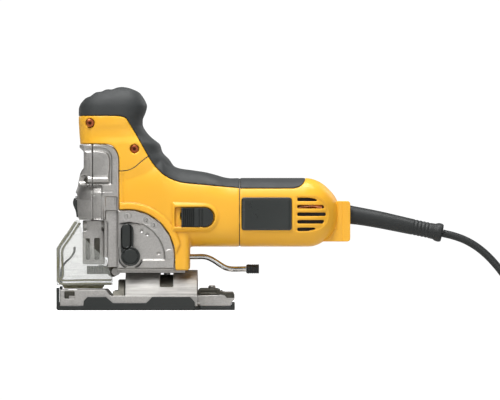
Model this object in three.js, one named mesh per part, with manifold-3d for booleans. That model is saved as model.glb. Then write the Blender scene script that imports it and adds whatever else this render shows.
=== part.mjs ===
// Body-grip jigsaw: a barrel-shaped motor housing with a rubber head grip, an aluminium gear case,
// a reciprocating plunger, an orbital-action lever, a tilting shoe and a mains lead.
//
// Frame, in millimetres: +X runs to the rear (the lead), the blade end is at -X, +Z is up and
// y = 0 is the mid-plane. The sole is flat at z = 0. The motor runs along X.
import * as THREE from "three";
import { ParametricGeometry } from "three/addons/geometries/ParametricGeometry.js";
import { mergeVertices } from "three/addons/utils/BufferGeometryUtils.js";
import Module from "manifold-3d";

const wasm = await Module();
wasm.setup();

// ---------------------------------------------------------------- driving dimensions
const GAP = 0.35; // between pieces that touch on the real tool
const WALL = 3; // housing wall
const GRIP_DEPTH = 2.4; // rubber moulded over the wall

const BARREL_Z = 88.4; // motor axis
const BARREL_BOTTOM = 57.2;
const BARREL_TOP = 119.7;
const BARREL_HALF = 32; // half-width across Y
const HEAD_HALF = 28.5;
const REAR_SEAM = 81.6; // where the rear cover starts
const REAR_END = 172.3;

const CASE_HALF = 26; // gear case half-width
const CASE_SEAM = -51.4; // parting line of the front cover
const YELLOW_FRONT = -27.2; // front edge of the main housing beside the gear case
const SECTOR = { x: -20, z: 47.8, radius: 43.6 }; // round face that carries the orbital lever
const SECTOR_FACE = 29.5; // half-distance between the two sector faces

const BLADE_X = -50.5; // plunger and blade axis
const STROKE = 26;
const GEAR_Z = BARREL_Z + 26.6;
const GEAR_RADIUS = 22;
const PINION_RADIUS = 4.2;

const TILT_RADIUS = 36; // bevel quadrant, turning about the X axis at z = 0
const TILT_CLEARANCE = 44.3; // swept radius of the tilting shoe's side flanges
const SADDLE_HALF = 15;
const SHOE_HALF = 41;
const SHOE_FRONT = -83.7;
const SHOE_REAR = 77.2;
const COVER_THICKNESS = 3.4;
const BEVEL_BOLT_X = 15.5;

const ORBIT_HUB = { x: -17, z: 48.7 };
const ARM_PIVOT = { x: -33, z: 62 };
const ROLLER = { x: -44.6, z: 36.6, radius: 4.4 };

const CORD_RADIUS = 3.5;
const COIL = { x: 396, y: 0, radius: 42, half: 10.7, bottom: 1.2, height: 21.3 };

// ---------------------------------------------------------------- materials
const finish = (color, roughness, metalness = 0) =>
  new THREE.MeshStandardMaterial({ color, roughness, metalness });
const YELLOW = finish(0xf2ac1e, 0.42);
const RUBBER = finish(0x34383a, 0.75);
const BLACK = finish(0x2b2e2f, 0.55);
const CAST = finish(0xbdb9b4, 0.45, 0.8);
const STEEL = finish(0x9a9ea2, 0.35, 0.95);
const CHROME = finish(0xd5d8da, 0.12, 1);
const SCREW = finish(0x3a3634, 0.4, 0.9);
const LAMINATION = finish(0x6f7275, 0.5, 0.85);
const COPPER = finish(0xb06a3a, 0.35, 0.95);
const CARBON = finish(0x1c1c1e, 0.8);
const BRONZE = finish(0x9c7a45, 0.45, 0.9);
const NYLON = finish(0xd8d4c8, 0.5);
const BADGE = finish(0x24272a, 0.35);
const CLEAR = finish(0xdfe6df, 0.08);

// ---------------------------------------------------------------- solids from three.js geometry
/** Turn a closed geometry into a solid that can be joined and cut. */
function toSolid(geometry) {
  for (const name of Object.keys(geometry.attributes)) {
    if (name !== "position") {
      geometry.deleteAttribute(name);
    }
  }
  const merged = mergeVertices(geometry, 1e-4);
  const point = (i) => new THREE.Vector3().fromBufferAttribute(merged.attributes.position, i);
  const faces = [];
  let volume = 0;
  for (let i = 0; i < merged.index.count; i += 3) {
    const [a, b, c] = [0, 1, 2].map((k) => merged.index.getX(i + k));
    if (a !== b && b !== c && c !== a) {
      faces.push([a, b, c]);
      volume += point(a).dot(point(b).cross(point(c)));
    }
  }
  const outward = volume < 0 ? faces.map(([a, b, c]) => [a, c, b]) : faces;
  return new wasm.Manifold(new wasm.Mesh({
    numProp: 3,
    vertProperties: merged.attributes.position.array,
    triVerts: Uint32Array.from(outward.flat()),
  }));
}

/** Box between two values on each axis. */
function block(x0, x1, y0, y1, z0, z1) {
  const box = new THREE.BoxGeometry(x1 - x0, y1 - y0, z1 - z0);
  return toSolid(box.translate((x0 + x1) / 2, (y0 + y1) / 2, (z0 + z1) / 2));
}

/** Turn a geometry whose length lies along Y so that it lies along the named axis. */
function layAlong(geometry, axis) {
  if (axis === "x") {
    geometry.rotateZ(-Math.PI / 2);
  }
  if (axis === "z") {
    geometry.rotateX(Math.PI / 2);
  }
  return geometry;
}

/** Round bar along an axis; `at` holds the two other coordinates in axis order. */
function bar(axis, radius, from, to, at, sides = 24, endRadius = radius) {
  const geometry = new THREE.CylinderGeometry(endRadius, radius, to - from, sides);
  layAlong(geometry, axis);
  const middle = (from + to) / 2;
  const place = { x: [middle, at[0], at[1]], y: [at[0], middle, at[1]], z: [at[0], at[1], middle] };
  return toSolid(geometry.translate(...place[axis]));
}

/** Ring or turned piece about an axis, from [radius, height] points along that axis. */
function turned(axis, profile, at, sides = 24) {
  const geometry = new THREE.LatheGeometry(profile.map((p) => new THREE.Vector2(...p)), sides);
  layAlong(geometry, axis);
  const place = { x: [0, at[0], at[1]], y: [at[0], 0, at[1]], z: [at[0], at[1], 0] };
  return toSolid(geometry.translate(...place[axis]));
}

/** Closed ring profile for turned(), between two radii and two heights. */
function ring(inner, outer, from, to) {
  return [[inner, from], [outer, from], [outer, to], [inner, to], [inner, from]];
}

/** Closed shape from points; an entry {through: [...]} is a smooth curve through its points. */
function outline(entries) {
  const shape = new THREE.Shape();
  shape.moveTo(...entries[0]);
  for (const entry of entries.slice(1)) {
    if (entry.through) {
      shape.splineThru(entry.through.map((p) => new THREE.Vector2(...p)));
    } else if (entry.arc) {
      shape.absarc(...entry.arc);
    } else {
      shape.lineTo(...entry);
    }
  }
  return shape;
}

/** Rounded rectangle shape. */
function roundedBox(x0, x1, y0, y1, r) {
  return outline([
    [x0 + r, y0],
    [x1 - r, y0],
    { arc: [x1 - r, y0 + r, r, -Math.PI / 2, 0] },
    [x1, y1 - r],
    { arc: [x1 - r, y1 - r, r, 0, Math.PI / 2] },
    [x0 + r, y1],
    { arc: [x0 + r, y1 - r, r, Math.PI / 2, Math.PI] },
    [x0, y0 + r],
    { arc: [x0 + r, y0 + r, r, Math.PI, Math.PI * 1.5] },
  ]);
}

/** Circle shape about a point. */
const circle = (at, radius) => outline([[at[0] + radius, at[1]], { arc: [...at, radius, 0, 2 * Math.PI] }]);

const PRISM_FRAMES = {
  x: (from) => new THREE.Matrix4().set(0, 0, 1, from, 1, 0, 0, 0, 0, 1, 0, 0, 0, 0, 0, 1),
  y: (from, to) => new THREE.Matrix4().set(1, 0, 0, 0, 0, 0, -1, to, 0, 1, 0, 0, 0, 0, 0, 1),
  z: (from) => new THREE.Matrix4().makeTranslation(0, 0, from),
};

/** Prism of a shape along an axis: (y, z) shapes along X, (x, z) along Y, (x, y) along Z. */
function prism(axis, shape, from, to, detail = 3) {
  const geometry = new THREE.ExtrudeGeometry(shape, {
    depth: to - from,
    bevelEnabled: false,
    curveSegments: detail,
  });
  return toSolid(geometry.applyMatrix4(PRISM_FRAMES[axis](from, to)));
}

/**
 * Body through superellipse sections along X or Z. A station is [place, low, high, half]: low and
 * high bound the section in Z (along X) or in X (along Z), and half is its half-width in Y.
 */
function loft(axis, stations, inset = 0, power = 3) {
  const sides = inset > 0 ? 12 : 16;
  const rows = stations.length + 1;
  const surface = (u, v, target) => {
    const row = Math.round(u * rows);
    const [place, low, high, half] = stations[THREE.MathUtils.clamp(row - 1, 0, rows - 2)];
    const pole = row === 0 || row === rows;
    const spread = (value) => Math.sign(value) * Math.abs(value) ** (2 / power);
    const angle = -2 * Math.PI * v;
    const across = pole ? 0 : spread(Math.cos(angle)) * Math.max(half - inset, 1);
    const along = pole ? 0 : spread(Math.sin(angle)) * Math.max((high - low) / 2 - inset, 1);
    const middle = (low + high) / 2;
    if (axis === "x") {
      target.set(place, across, middle + along);
    } else {
      target.set(middle + along, across, place);
    }
  };
  return toSolid(new ParametricGeometry(surface, rows, sides));
}

const joinAll = (solids) => solids.reduce((whole, next) => whole.add(next));
const cutAll = (solid, tools) => tools.reduce((rest, tool) => rest.subtract(tool), solid);
/** The same solid on both sides of the mid-plane, from a function of side (-1 or 1). */
const bothSides = (make) => [-1, 1].map(make);
/** Block on one side of the mid-plane: y runs from near to far, away from the plane. */
const sideBlock = (side, x0, x1, near, far, z0, z1) =>
  block(x0, x1, Math.min(side * near, side * far), Math.max(side * near, side * far), z0, z1);
/** Prism along Y on one side of the mid-plane. */
const sidePrism = (side, shape, near, far, detail) =>
  prism("y", shape, Math.min(side * near, side * far), Math.max(side * near, side * far), detail);

// ---------------------------------------------------------------- scene graph
const jigsaw = new THREE.Group();

/** Faces of the largest connected shell of a mesh; thin slivers left by the cuts are dropped. */
function largestShell(faces) {
  const parent = new Map();
  const root = (v) => {
    while (parent.has(v) && parent.get(v) !== v) {
      v = parent.get(v);
    }
    return v;
  };
  for (let i = 0; i < faces.length; i += 3) {
    parent.set(root(faces[i + 1]), root(faces[i]));
    parent.set(root(faces[i + 2]), root(faces[i]));
  }
  const shells = new Map();
  for (let i = 0; i < faces.length; i += 3) {
    const key = root(faces[i]);
    shells.set(key, [...(shells.get(key) ?? []), faces[i], faces[i + 1], faces[i + 2]]);
  }
  return Uint32Array.from([...shells.values()].sort((a, b) => b.length - a.length)[0]);
}

/** Add one named piece to the tool. */
function addPiece(name, solid, material) {
  const mesh = solid.getMesh();
  const geometry = new THREE.BufferGeometry();
  geometry.setAttribute("position", new THREE.BufferAttribute(mesh.vertProperties, 3));
  geometry.setIndex(new THREE.BufferAttribute(largestShell(mesh.triVerts), 1));
  geometry.computeVertexNormals();
  const piece = new THREE.Mesh(geometry, material);
  piece.name = name;
  jigsaw.add(piece);
}

// ---------------------------------------------------------------- main housing and grips
/** Plan sections of the head, [z, front, rear, half]; the top one closes the crown. */
const HEAD = [
  [104, -62, 34, 26],
  [136, -63.2, 18, HEAD_HALF],
  [143, -63.3, 11.5, HEAD_HALF],
  [150.4, -63.4, 9, HEAD_HALF],
  [158.3, -64, -0.4, HEAD_HALF],
  [166, -64.6, -5.6, 28.3],
  [171.3, -64.8, -6.5, 28],
  [179, -64.8, -4, 27.5],
  [185, -62.6, -3, 26.5],
  [190, -59.4, -4.8, 25],
  [194.5, -54, -8, 22.5],
  [198.5, -42, -13, 18],
  [201, -34, -18.5, 11],
  [202.4, -28, -22, 4],
];

/** Cross-sections of the barrel, [x, bottom, top, half]. */
const BARREL = [
  [-28, BARREL_BOTTOM, 146, 27.5],
  [6, BARREL_BOTTOM, 147, 30],
  [11.8, BARREL_BOTTOM, 140.6, 30.5],
  [15.5, BARREL_BOTTOM, 135.2, 30.8],
  [20, BARREL_BOTTOM, 131.4, 31],
  [38, BARREL_BOTTOM, 126.8, 31.6],
  [50.5, BARREL_BOTTOM, 124.9, BARREL_HALF],
  [68, BARREL_BOTTOM, 120.2, BARREL_HALF],
  [REAR_SEAM, BARREL_BOTTOM, BARREL_TOP, BARREL_HALF],
];

/** Cross-sections of the rear cover, closing in a dome. */
const REAR = [
  [REAR_SEAM + GAP, BARREL_BOTTOM, BARREL_TOP, BARREL_HALF],
  [141, BARREL_BOTTOM, BARREL_TOP, BARREL_HALF],
  [147, 57.4, 118.9, 31.4],
  [152.5, 59, 117, 30],
  [158, 62, 113.6, 27.2],
  [163, 65.4, 109, 23.2],
  [167.4, 70.6, 104, 18.2],
  [170.4, 77, 98.6, 12.2],
  [171.9, 82.5, 93, 6.5],
  [REAR_END, 86, 90.8, 2.6],
];

/** Move every section along its axis, so that an inset loft also stops short of its closed end. */
const shifted = (stations, by) => stations.map(([place, ...rest]) => [place + by, ...rest]);

const SKIRT = { front: -40, rear: 36.4, half: 29.5, bottom: 36 };
/** Full outer form of the main housing, inset by a wall thickness. */
function housingForm(inset) {
  const skirtPlan = roundedBox(
    SKIRT.front, SKIRT.rear - inset, inset - SKIRT.half, SKIRT.half - inset, 6);
  return joinAll([
    loft("z", shifted(HEAD, -inset), inset),
    loft("x", BARREL, inset),
    prism("z", skirtPlan, inset > 0 ? 20 : SKIRT.bottom, 78),
  ]);
}

/** Lower edge of the rubber grip, from behind the head down to the seam. */
const GRIP_EDGE = [
  [-22, 173.8],
  [-18.1, 168.4],
  [-9.1, 153.2],
  [-1.5, 139.6],
  [5.2, 129.5],
  [14.9, 120.8],
  [26.8, 115.8],
  [50.5, 113],
  [REAR_SEAM + 1, 110.1],
];
const moved = (points, dx, dz) => points.map(([x, z]) => [x + dx, z + dz]);
const ABOVE_GRIP = [[-70, 215], [REAR_SEAM + 1, 215]];
/** Side outline of the main housing below an upper edge, moved by dx and dz. */
function housingSide(upperEdge, dx = 0, dz = 0) {
  const right = SECTOR.x + 43.4;
  return outline([
    [-70, 175.6 + dz],
    ...upperEdge,
    [REAR_SEAM + dx, 20],
    [right + dx, 20],
    [right + dx, 43.6 + dz],
    { arc: [SECTOR.x + dx, SECTOR.z + dz, SECTOR.radius, -0.09, 1.736] },
    [YELLOW_FRONT + dx, 135.7 + dz],
    { through: moved([[-28.2, 141], [-30.3, 145.1], [-33.8, 148.6], [-39.4, 150.4]], dx, dz) },
    [-70, 150.4 + dz],
  ]);
}
const gripEdge = (dx, dz) => [[-29 + dx, 175.6 + dz], { through: moved(GRIP_EDGE, dx, dz) }];
const gripSide = outline([[-70, 175.6 + GAP], ...gripEdge(0.25, GAP), [REAR_SEAM, 215], [-70, 215]]);

const HOUSING_SCREWS = { front: [-53.7, 169.3], rear: [-13.5, 146] };
const SWITCH = { left: 21.4, right: 62.7, bottom: 72.3, top: 96.9 };
/** Outline of the switch bezel: square at the front and round at the rear. */
function bezelSide(grow) {
  const middle = (SWITCH.bottom + SWITCH.top) / 2;
  const radius = (SWITCH.top - SWITCH.bottom) / 2;
  return outline([
    [SWITCH.left - grow, middle - radius - grow],
    [SWITCH.right - radius, middle - radius - grow],
    { arc: [SWITCH.right - radius, middle, radius + grow, -Math.PI / 2, Math.PI / 2] },
    [SWITCH.left - grow, middle + radius + grow],
  ]);
}
const SEAT = 2.5; // band of full thickness under the edge of the rubber
const rubberFloor = GRIP_DEPTH + GAP;
const innerFace = rubberFloor + WALL;
const sideways = (shape) => prism("y", shape, -50, 50);
const yellowPrism = sideways(housingSide(gripEdge(0, 0)));
const bosses = Object.values(HOUSING_SCREWS).flatMap((at) =>
  bothSides((side) => sidePrism(side, circle(at, 4.6), 5.2, 25)));
const motorFloor = block(SECTOR.x + 43.4, SKIRT.rear - 1, -27.5, 27.5, 55, 57.6);
const switchHole = sidePrism(-1, bezelSide(GAP), 20, 40, 6);
const outerForm = housingForm(0);
const housing = cutAll(
  joinAll([
    outerForm.intersect(yellowPrism),
    housingForm(rubberFloor).intersect(sideways(housingSide(ABOVE_GRIP))),
  ]).subtract(housingForm(innerFace))
    .subtract(housingForm(WALL).intersect(sideways(housingSide(gripEdge(-SEAT, -SEAT), -SEAT))))
    .add(joinAll([motorFloor, ...bosses])),
  [
    bar("x", TILT_CLEARANCE, -60, 60, [0, 0], 48),
    block(-60, 60, -60, 60, 0, SKIRT.bottom),
    block(SKIRT.rear - 6, SKIRT.rear + 1, -22, 22, 43.5, 53.5),
    switchHole,
    ...Object.values(HOUSING_SCREWS).flatMap((at) => [
      bar("y", 4.2, -40, -20, at, 12),
      bar("y", 2.35, -24, 16, at, 8),
    ]),
    block(72, 90, -28.4, -25, 81, 89),
  ],
);
const gripShell = outerForm.subtract(housingForm(GRIP_DEPTH)).intersect(sideways(gripSide));

for (const [side, word] of [[-1, "left"], [1, "right"]]) {
  const half = sideBlock(side, -90, 90, GAP / 2, 60, 0, 220);
  addPiece(`housing_${word}`, housing.intersect(half), YELLOW);
  addPiece(`grip_${word}`, gripShell.intersect(half), RUBBER);
}
for (const [word, at] of Object.entries(HOUSING_SCREWS)) {
  const screw = bar("y", 3.7, -22.9, -20.3, at, 12).add(bar("y", 1.9, -20.4, 14, at, 8));
  addPiece(`housing_screw_${word}`, screw.subtract(bar("y", 1.6, -24, -21.6, at, 6)), SCREW);
}

// ---------------------------------------------------------------- rear cover
const VENTS = [
  { z: 100.1, rear: 150.5 },
  { z: 93.5, rear: 157 },
  { z: 86.7, rear: 159.5 },
  { z: 79.9, rear: 158 },
  { z: 73.1, rear: 151 },
];
const VENT_FRONT = 133.7;
const VENT_HALF = 1.6;
const BADGE_PLATE = { left: 83.3, right: 128.9, bottom: 72.2, top: 101.9, corner: 2.3 };
const rearGripSide = outline([
  [80, 109.8 + GAP],
  [130, 109.8 + GAP],
  { through: [[135.5, 111.4], [139.3, 114.6], [141.2, 119], [141.4, 125]] },
  [80, 125],
]);
const rearGripPrism = sideways(rearGripSide);
const rearForm = (inset) => loft("x", shifted(REAR, -inset), inset);
const badgeShape = (grow) => roundedBox(
  BADGE_PLATE.left - grow, BADGE_PLATE.right + grow,
  BADGE_PLATE.bottom - grow, BADGE_PLATE.top + grow, BADGE_PLATE.corner + grow);
const rearSkin = rearForm(0).subtract(rearGripPrism).add(
  rearForm(rubberFloor).intersect(block(REAR_SEAM + GAP, 200, -50, 50, 20, 150)));
const rearCuts = [
  rearForm(WALL).subtract(rearGripPrism.add(block(80, 145, -50, 50, 106, 125))),
  rearForm(innerFace),
  ...bothSides((side) => sidePrism(side, badgeShape(GAP), 30.8, 40)),
];
for (const vent of VENTS) {
  const slot = roundedBox(VENT_FRONT, vent.rear, vent.z - VENT_HALF, vent.z + VENT_HALF, 1.5);
  rearCuts.push(...bothSides((side) => sidePrism(side, slot, 12, 40, 1)));
}
addPiece("rear_cover", cutAll(rearSkin, rearCuts), YELLOW);
const rearRubber = rearForm(0).subtract(rearForm(GRIP_DEPTH)).intersect(
  rearGripPrism.intersect(block(REAR_SEAM + GAP, 150, -50, 50, 90, 150)
    .subtract(block(60, 150, -50, 50, 90, 109.8 + 2 * GAP))));
addPiece("rear_grip", rearRubber, RUBBER);
for (const [side, word] of [[-1, "left"], [1, "right"]]) {
  addPiece(`badge_${word}`, sidePrism(side, badgeShape(0), 31.15, 32.7), BADGE);
}

// ---------------------------------------------------------------- gear case and front cover
const CASE_TOP = 149.9;
const DRUM = { front: -64.2, rear: -41, half: 18, bottom: 81.6, top: 113.3 };
const drumPlan = roundedBox(DRUM.front, DRUM.rear, -DRUM.half, DRUM.half, 11.5);
const drum = prism("z", drumPlan, DRUM.bottom, DRUM.top);
const drumBore = bar("z", 9.4, DRUM.bottom - 10, DRUM.top + 10, [BLADE_X, 0], 20);
const caseRear = YELLOW_FRONT - GAP - 0.1;
const caseSide = outline([
  [CASE_SEAM, CASE_TOP],
  [-39.4, CASE_TOP],
  { through: [[-34.1, 148.1], [-30.8, 144.9], [-28.6, 140.8], [caseRear, 135.6]] },
  [caseRear, 90.9],
  { arc: [SECTOR.x, SECTOR.z, SECTOR.radius - 2 * GAP, 1.75, -0.27, true] },
  [SECTOR.x + 41, 35],
  [-37.8, 35],
  [-37.8, 80],
  [-41, DRUM.bottom],
  [CASE_SEAM, DRUM.bottom],
]);
const sectorSide = outline([
  [-28.6, 90.4],
  { arc: [SECTOR.x, SECTOR.z, SECTOR.radius - 2 * GAP, 1.76, -0.2, true] },
  [SECTOR.x + 41.5, 38],
  [-28.6, 38],
]);
const leverRecess = [
  sidePrism(-1, circle([-18.2, 46.9], 32.5), 27.3, 35, 16).intersect(block(-28.4, 20, -40, 0, 45.4, 90)),
  bar("y", 11.5, -35, -27.3, [ORBIT_HUB.x, ORBIT_HUB.z], 20),
];
const caseBody = sideways(caseSide).intersect(block(-60, 40, -CASE_HALF, CASE_HALF, 20, 160));
const caseCuts = [
  bar("x", TILT_CLEARANCE, -60, 60, [0, 0], 48),
  block(-60, -20, -22.6, 22.6, 115, 160),
  block(-49.2, -20, -22.6, 22.6, 93, 160),
  block(-26.4, 40, -21, 21, 44.6, 95),
  block(-34.6, -20, -6, 6, 82, 94),
  ...bothSides((side) => sideBlock(side, -42, -29, 22, 30, 30, 103)),
  drumBore,
];
const saddle = block(-28.2, 32.3, -SADDLE_HALF, SADDLE_HALF, 30, 44.7)
  .subtract(bar("x", TILT_RADIUS + GAP, -60, 60, [0, 0], 48));
const gearCase = cutAll(
  joinAll([
    caseBody,
    ...bothSides((side) => sidePrism(side, sectorSide, CASE_HALF - 1, SECTOR_FACE)),
    drum.intersect(block(CASE_SEAM, 0, -30, 30, 80, 120)),
  ]),
  caseCuts,
).add(saddle);
addPiece("gear_case", cutAll(gearCase, [
  ...leverRecess,
  block(-41.5, -28.5, -6, 6, 20, 72),
  bar("z", 3.5, 20, 50, [BEVEL_BOLT_X, 0], 12),
  bar("y", 3.4, -40, -15, [ORBIT_HUB.x, ORBIT_HUB.z], 12),
  bar("y", 2.35, -16, 16, [ARM_PIVOT.x, ARM_PIVOT.z], 10),
]), CAST);

const coverSide = outline([
  [CASE_SEAM - GAP, CASE_TOP],
  [-63.4, CASE_TOP],
  [-63.4, 147],
  [-60.2, 144.1],
  [-59.6, 143],
  [-59.6, 128.5],
  { through: [[-61.7, 125.9], [-63.4, 121.1], [-65.5, 109.3], [-66.3, 104.4]] },
  [-64.2, 103.4],
  [CASE_SEAM - GAP, 103.4],
]);
const coverPlan = prism("z", roundedBox(-66.5, -20, -CASE_HALF, CASE_HALF, 13), 80, 160);
const RELEASE = { x: -67, z: 101, half: 9 };
const lugs = bothSides((side) => sideBlock(side, -68.6, -62, RELEASE.half + 0.4, 11.6, 99.2, 103.3));
addPiece("front_cover", cutAll(
  joinAll([
    sideways(coverSide).intersect(coverPlan),
    drum.intersect(block(-70, CASE_SEAM - GAP, -30, 30, 80, 120)),
  ]),
  [block(-57.8, -40, -20, 20, 94, 160), drumBore],
).add(joinAll(lugs)).add(bar("y", 1, -11, 11, [RELEASE.x, RELEASE.z], 8)), CAST);
const releaseSide = outline([
  [-67.4, 103],
  { through: [[-69.4, 100], [-70, 96.7], [-68.9, 93.2], [-67.6, 90.4], [-66.9, 87]] },
  [-66.5, 84],
  [-65, 84],
  [-65, 103],
]);
addPiece("blade_release_lever", prism("y", releaseSide, -RELEASE.half, RELEASE.half, 1)
  .subtract(bar("y", 1.35, -20, 20, [RELEASE.x, RELEASE.z], 8)), BLACK);

const GUIDE = { front: -61, rear: -41.4, half: 8.8, bottom: 41.4, neck: 71.4 };
const guideNeck = roundedBox(-60, -41, -GUIDE.half, GUIDE.half, 4);
const guideBody = prism("z", guideNeck, GUIDE.neck - 1, DRUM.bottom - GAP)
  .add(block(GUIDE.front, GUIDE.rear, -GUIDE.half, GUIDE.half, GUIDE.bottom, GUIDE.neck));
addPiece("guide_block", cutAll(guideBody, [
  block(-57.9, -43.4, -6.8, 6.8, 30, 72),
  bar("z", 6.9, 60, 90, [BLADE_X, 0], 16),
  block(-58.2, -54.8, -20, 20, 45.5, 64.6),
  block(-50.4, -45.6, -20, 20, 45.5, 65.1),
]), CAST);

const guardSide = [
  [-67.8, 81.2],
  [-84.6, 56],
  [-84.6, 22.3],
  [-33.7, 22.3],
  [-34.5, 30],
  [-39.5, 45],
  [-61.3, 67],
  [-64.6, 81.2],
];
const guardSpace = [
  [-65, 90],
  [-82.6, 55.4],
  [-82.6, 20],
  [-30, 20],
  [-30, 90],
];
const flare = (inset) => outline([
  [-11 + inset, 10],
  [11 - inset, 10],
  [11 - inset, 43],
  [19 - inset, 82],
  [-19 + inset, 82],
  [-11 + inset, 43],
]);
addPiece("chip_guard", sideways(outline(guardSide)).intersect(prism("x", flare(0), -90, -20))
  .subtract(sideways(outline(guardSpace)).intersect(prism("x", flare(1.8), -100, 0))), CLEAR);

// ---------------------------------------------------------------- motor
const onMotor = [0, BARREL_Z];
addPiece("armature_shaft", joinAll([
  bar("x", PINION_RADIUS - 0.2, -33, -25, onMotor, 12),
  bar("x", 3.5, -25.5, 148, onMotor, 12),
]), STEEL);
const pressed = (name, outer, from, to, material, sides = 16) =>
  addPiece(name, turned("x", ring(3.9, outer, from, to), onMotor, sides), material);
pressed("armature_core", 17.5, 46, 90, LAMINATION);
pressed("commutator", 11, 106, 121, COPPER);
pressed("cooling_fan", 23.5, 12, 24, NYLON);
pressed("front_bearing", 9.5, -8, -1, STEEL);
pressed("rear_bearing", 9.5, 138, 145, STEEL);
addPiece("stator", turned("x", ring(18.6, 25.3, 46, 90), onMotor, 24), LAMINATION);
addPiece("field_winding_front", turned("x", ring(19, 24.4, 40, 45.6), onMotor, 20), COPPER);
addPiece("field_winding_rear", turned("x", ring(19, 24.4, 90.4, 96), onMotor, 20), COPPER);
const BRUSH_X = 113.5;
for (const [side, word] of [[-1, "left"], [1, "right"]]) {
  const holder = sideBlock(side, BRUSH_X - 5.5, BRUSH_X + 5.5, 13, 26, BARREL_Z - 4.5, BARREL_Z + 4.5);
  const slot = sideBlock(side, BRUSH_X - 3.8, BRUSH_X + 3.8, 10, 30, BARREL_Z - 2.8, BARREL_Z + 2.8);
  addPiece(`brush_holder_${word}`, holder.subtract(slot), BRONZE);
  addPiece(`brush_${word}`, sideBlock(
    side, BRUSH_X - 3.4, BRUSH_X + 3.4, 11.4, 22, BARREL_Z - 2.4, BARREL_Z + 2.4), CARBON);
}
const plate = prism("x", roundedBox(-20.4, 20.4, 71, 136.5, 8), -8, -4).subtract(
  bar("x", 9.9, -10, 0, onMotor, 20)).add(bar("x", 3.9, -30.7, -7, [0, GEAR_Z], 16));
addPiece("bearing_plate", plate, CAST);

// ---------------------------------------------------------------- drive
const TEETH = 28;
const toothPoints = [];
for (let tooth = 0; tooth < TEETH; tooth += 1) {
  for (const [part, depth] of [[-0.3, 1.6], [-0.15, 0], [0.15, 0], [0.3, 1.6]]) {
    const angle = ((tooth + part) / TEETH) * 2 * Math.PI;
    const r = GEAR_RADIUS - depth;
    toothPoints.push([r * Math.cos(angle), GEAR_Z + r * Math.sin(angle)]);
  }
}
const CRANK = STROKE / 2;
addPiece("drive_gear", cutAll(prism("x", outline(toothPoints), -33, -25), [
  bar("x", 4.3, -31, -20, [0, GEAR_Z], 16),
]).add(bar("x", 3, -41.6, -32, [CRANK, GEAR_Z], 12)), STEEL);
addPiece("counterweight", block(-23.6, -19.6, -19, 19, 101, 142).subtract(
  block(-30, 0, -5.5, 5.5, 90, 133.6)), STEEL);
const YOKE_HALF = 7.5;
const yoke = block(-46.9, -43.4, -18.5, 18.5, GEAR_Z - YOKE_HALF, GEAR_Z + YOKE_HALF).subtract(
  block(-46.2, -40, -16.3, 16.3, GEAR_Z - 3.4, GEAR_Z + 3.4));
addPiece("plunger", block(-54, -47, -3.5, 3.5, 71, 153.5).add(yoke.add(
  block(-47.5, -46.3, -6, 6, GEAR_Z - YOKE_HALF, GEAR_Z + YOKE_HALF))), STEEL);
const bushing = (z0, z1, half) => block(-57, -44.2, -half, half, z0, z1).subtract(
  block(-54.35, -46.65, -3.85, 3.85, z0 - 1, z1 + 1));
addPiece("upper_bushing", bushing(136, 140, 9), BRONZE);
addPiece("lower_bushing", bar("z", 9, 86, 93, [BLADE_X, 0], 20).subtract(
  block(-54.35, -46.65, -3.85, 3.85, 80, 100)), BRONZE);
addPiece("blade_clamp", bar("z", 6, 55.5, 70.6, [BLADE_X, 0], 20).subtract(
  block(-55, -46, -0.8, 0.8, 50, 66)), STEEL);

// ---------------------------------------------------------------- orbital action and blade support
const leverSide = outline([
  [-25.8, 52],
  [-25.8, 72.5],
  { arc: [-20.05, 72.5, 5.75, Math.PI, 0, true] },
  [-14.3, 52],
]);
addPiece("orbital_lever", joinAll([
  prism("y", leverSide, -33.5, -27.8, 6),
  bar("y", 8.7, -35, -27.8, [ORBIT_HUB.x, ORBIT_HUB.z], 24),
  bar("y", 2.3, -28, -12, [ORBIT_HUB.x, ORBIT_HUB.z], 12),
]), BLACK);
const armSide = outline([
  [-57.3, 32.3],
  [-38, 32.3],
  { arc: [-33.8, 34.4, 4.8, Math.PI * 1.1, Math.PI * 1.9] },
  [-30, 62],
  { arc: [ARM_PIVOT.x, ARM_PIVOT.z, 3.6, 0, Math.PI] },
  [-37, 45],
  [-39.5, 39.6],
  [-57.3, 39.6],
]);
addPiece("roller_arm", cutAll(prism("y", armSide, -5.4, 5.4, 4), [
  block(-60, -39, -3.4, 3.4, 30, 42),
  bar("y", 2.35, -10, 10, [ARM_PIVOT.x, ARM_PIVOT.z], 10),
]).add(bar("y", 1.15, -5, 5, [ROLLER.x, ROLLER.z], 8)), STEEL);
addPiece("arm_pin", bar("y", 2, -15.6, 15.6, [ARM_PIVOT.x, ARM_PIVOT.z], 10), STEEL);
addPiece("support_roller", turned("y", ring(1.5, ROLLER.radius, -3, 3), [ROLLER.x, ROLLER.z], 20), STEEL);

// ---------------------------------------------------------------- slide switch
addPiece("switch_bezel", sidePrism(-1, bezelSide(0), 29.2, 32.6, 6).subtract(
  sidePrism(-1, roundedBox(22.8, 59.2, 75, 93, 0.8), 20, 40, 1)), YELLOW);
const sliderSide = outline([
  [29, 75.4],
  [49.4, 75.4],
  { arc: [49.4, 84, 8.6, -Math.PI / 2, Math.PI / 2] },
  [29, 92.6],
]);
const LINK = { front: 34, rear: 126, inner: 26, outer: 27.2, bottom: 83, top: 87 };
addPiece("switch_slider", joinAll([
  sidePrism(-1, sliderSide, 29.4, 34, 5),
  sideBlock(-1, LINK.front, LINK.front + 8, LINK.inner, 30, LINK.bottom, LINK.top),
  sideBlock(-1, LINK.front, LINK.rear, LINK.inner, LINK.outer, LINK.bottom, LINK.top),
]), BLACK);
addPiece("switch_module", block(112, 134, -11, 11, 63, 74), BLACK);

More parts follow.
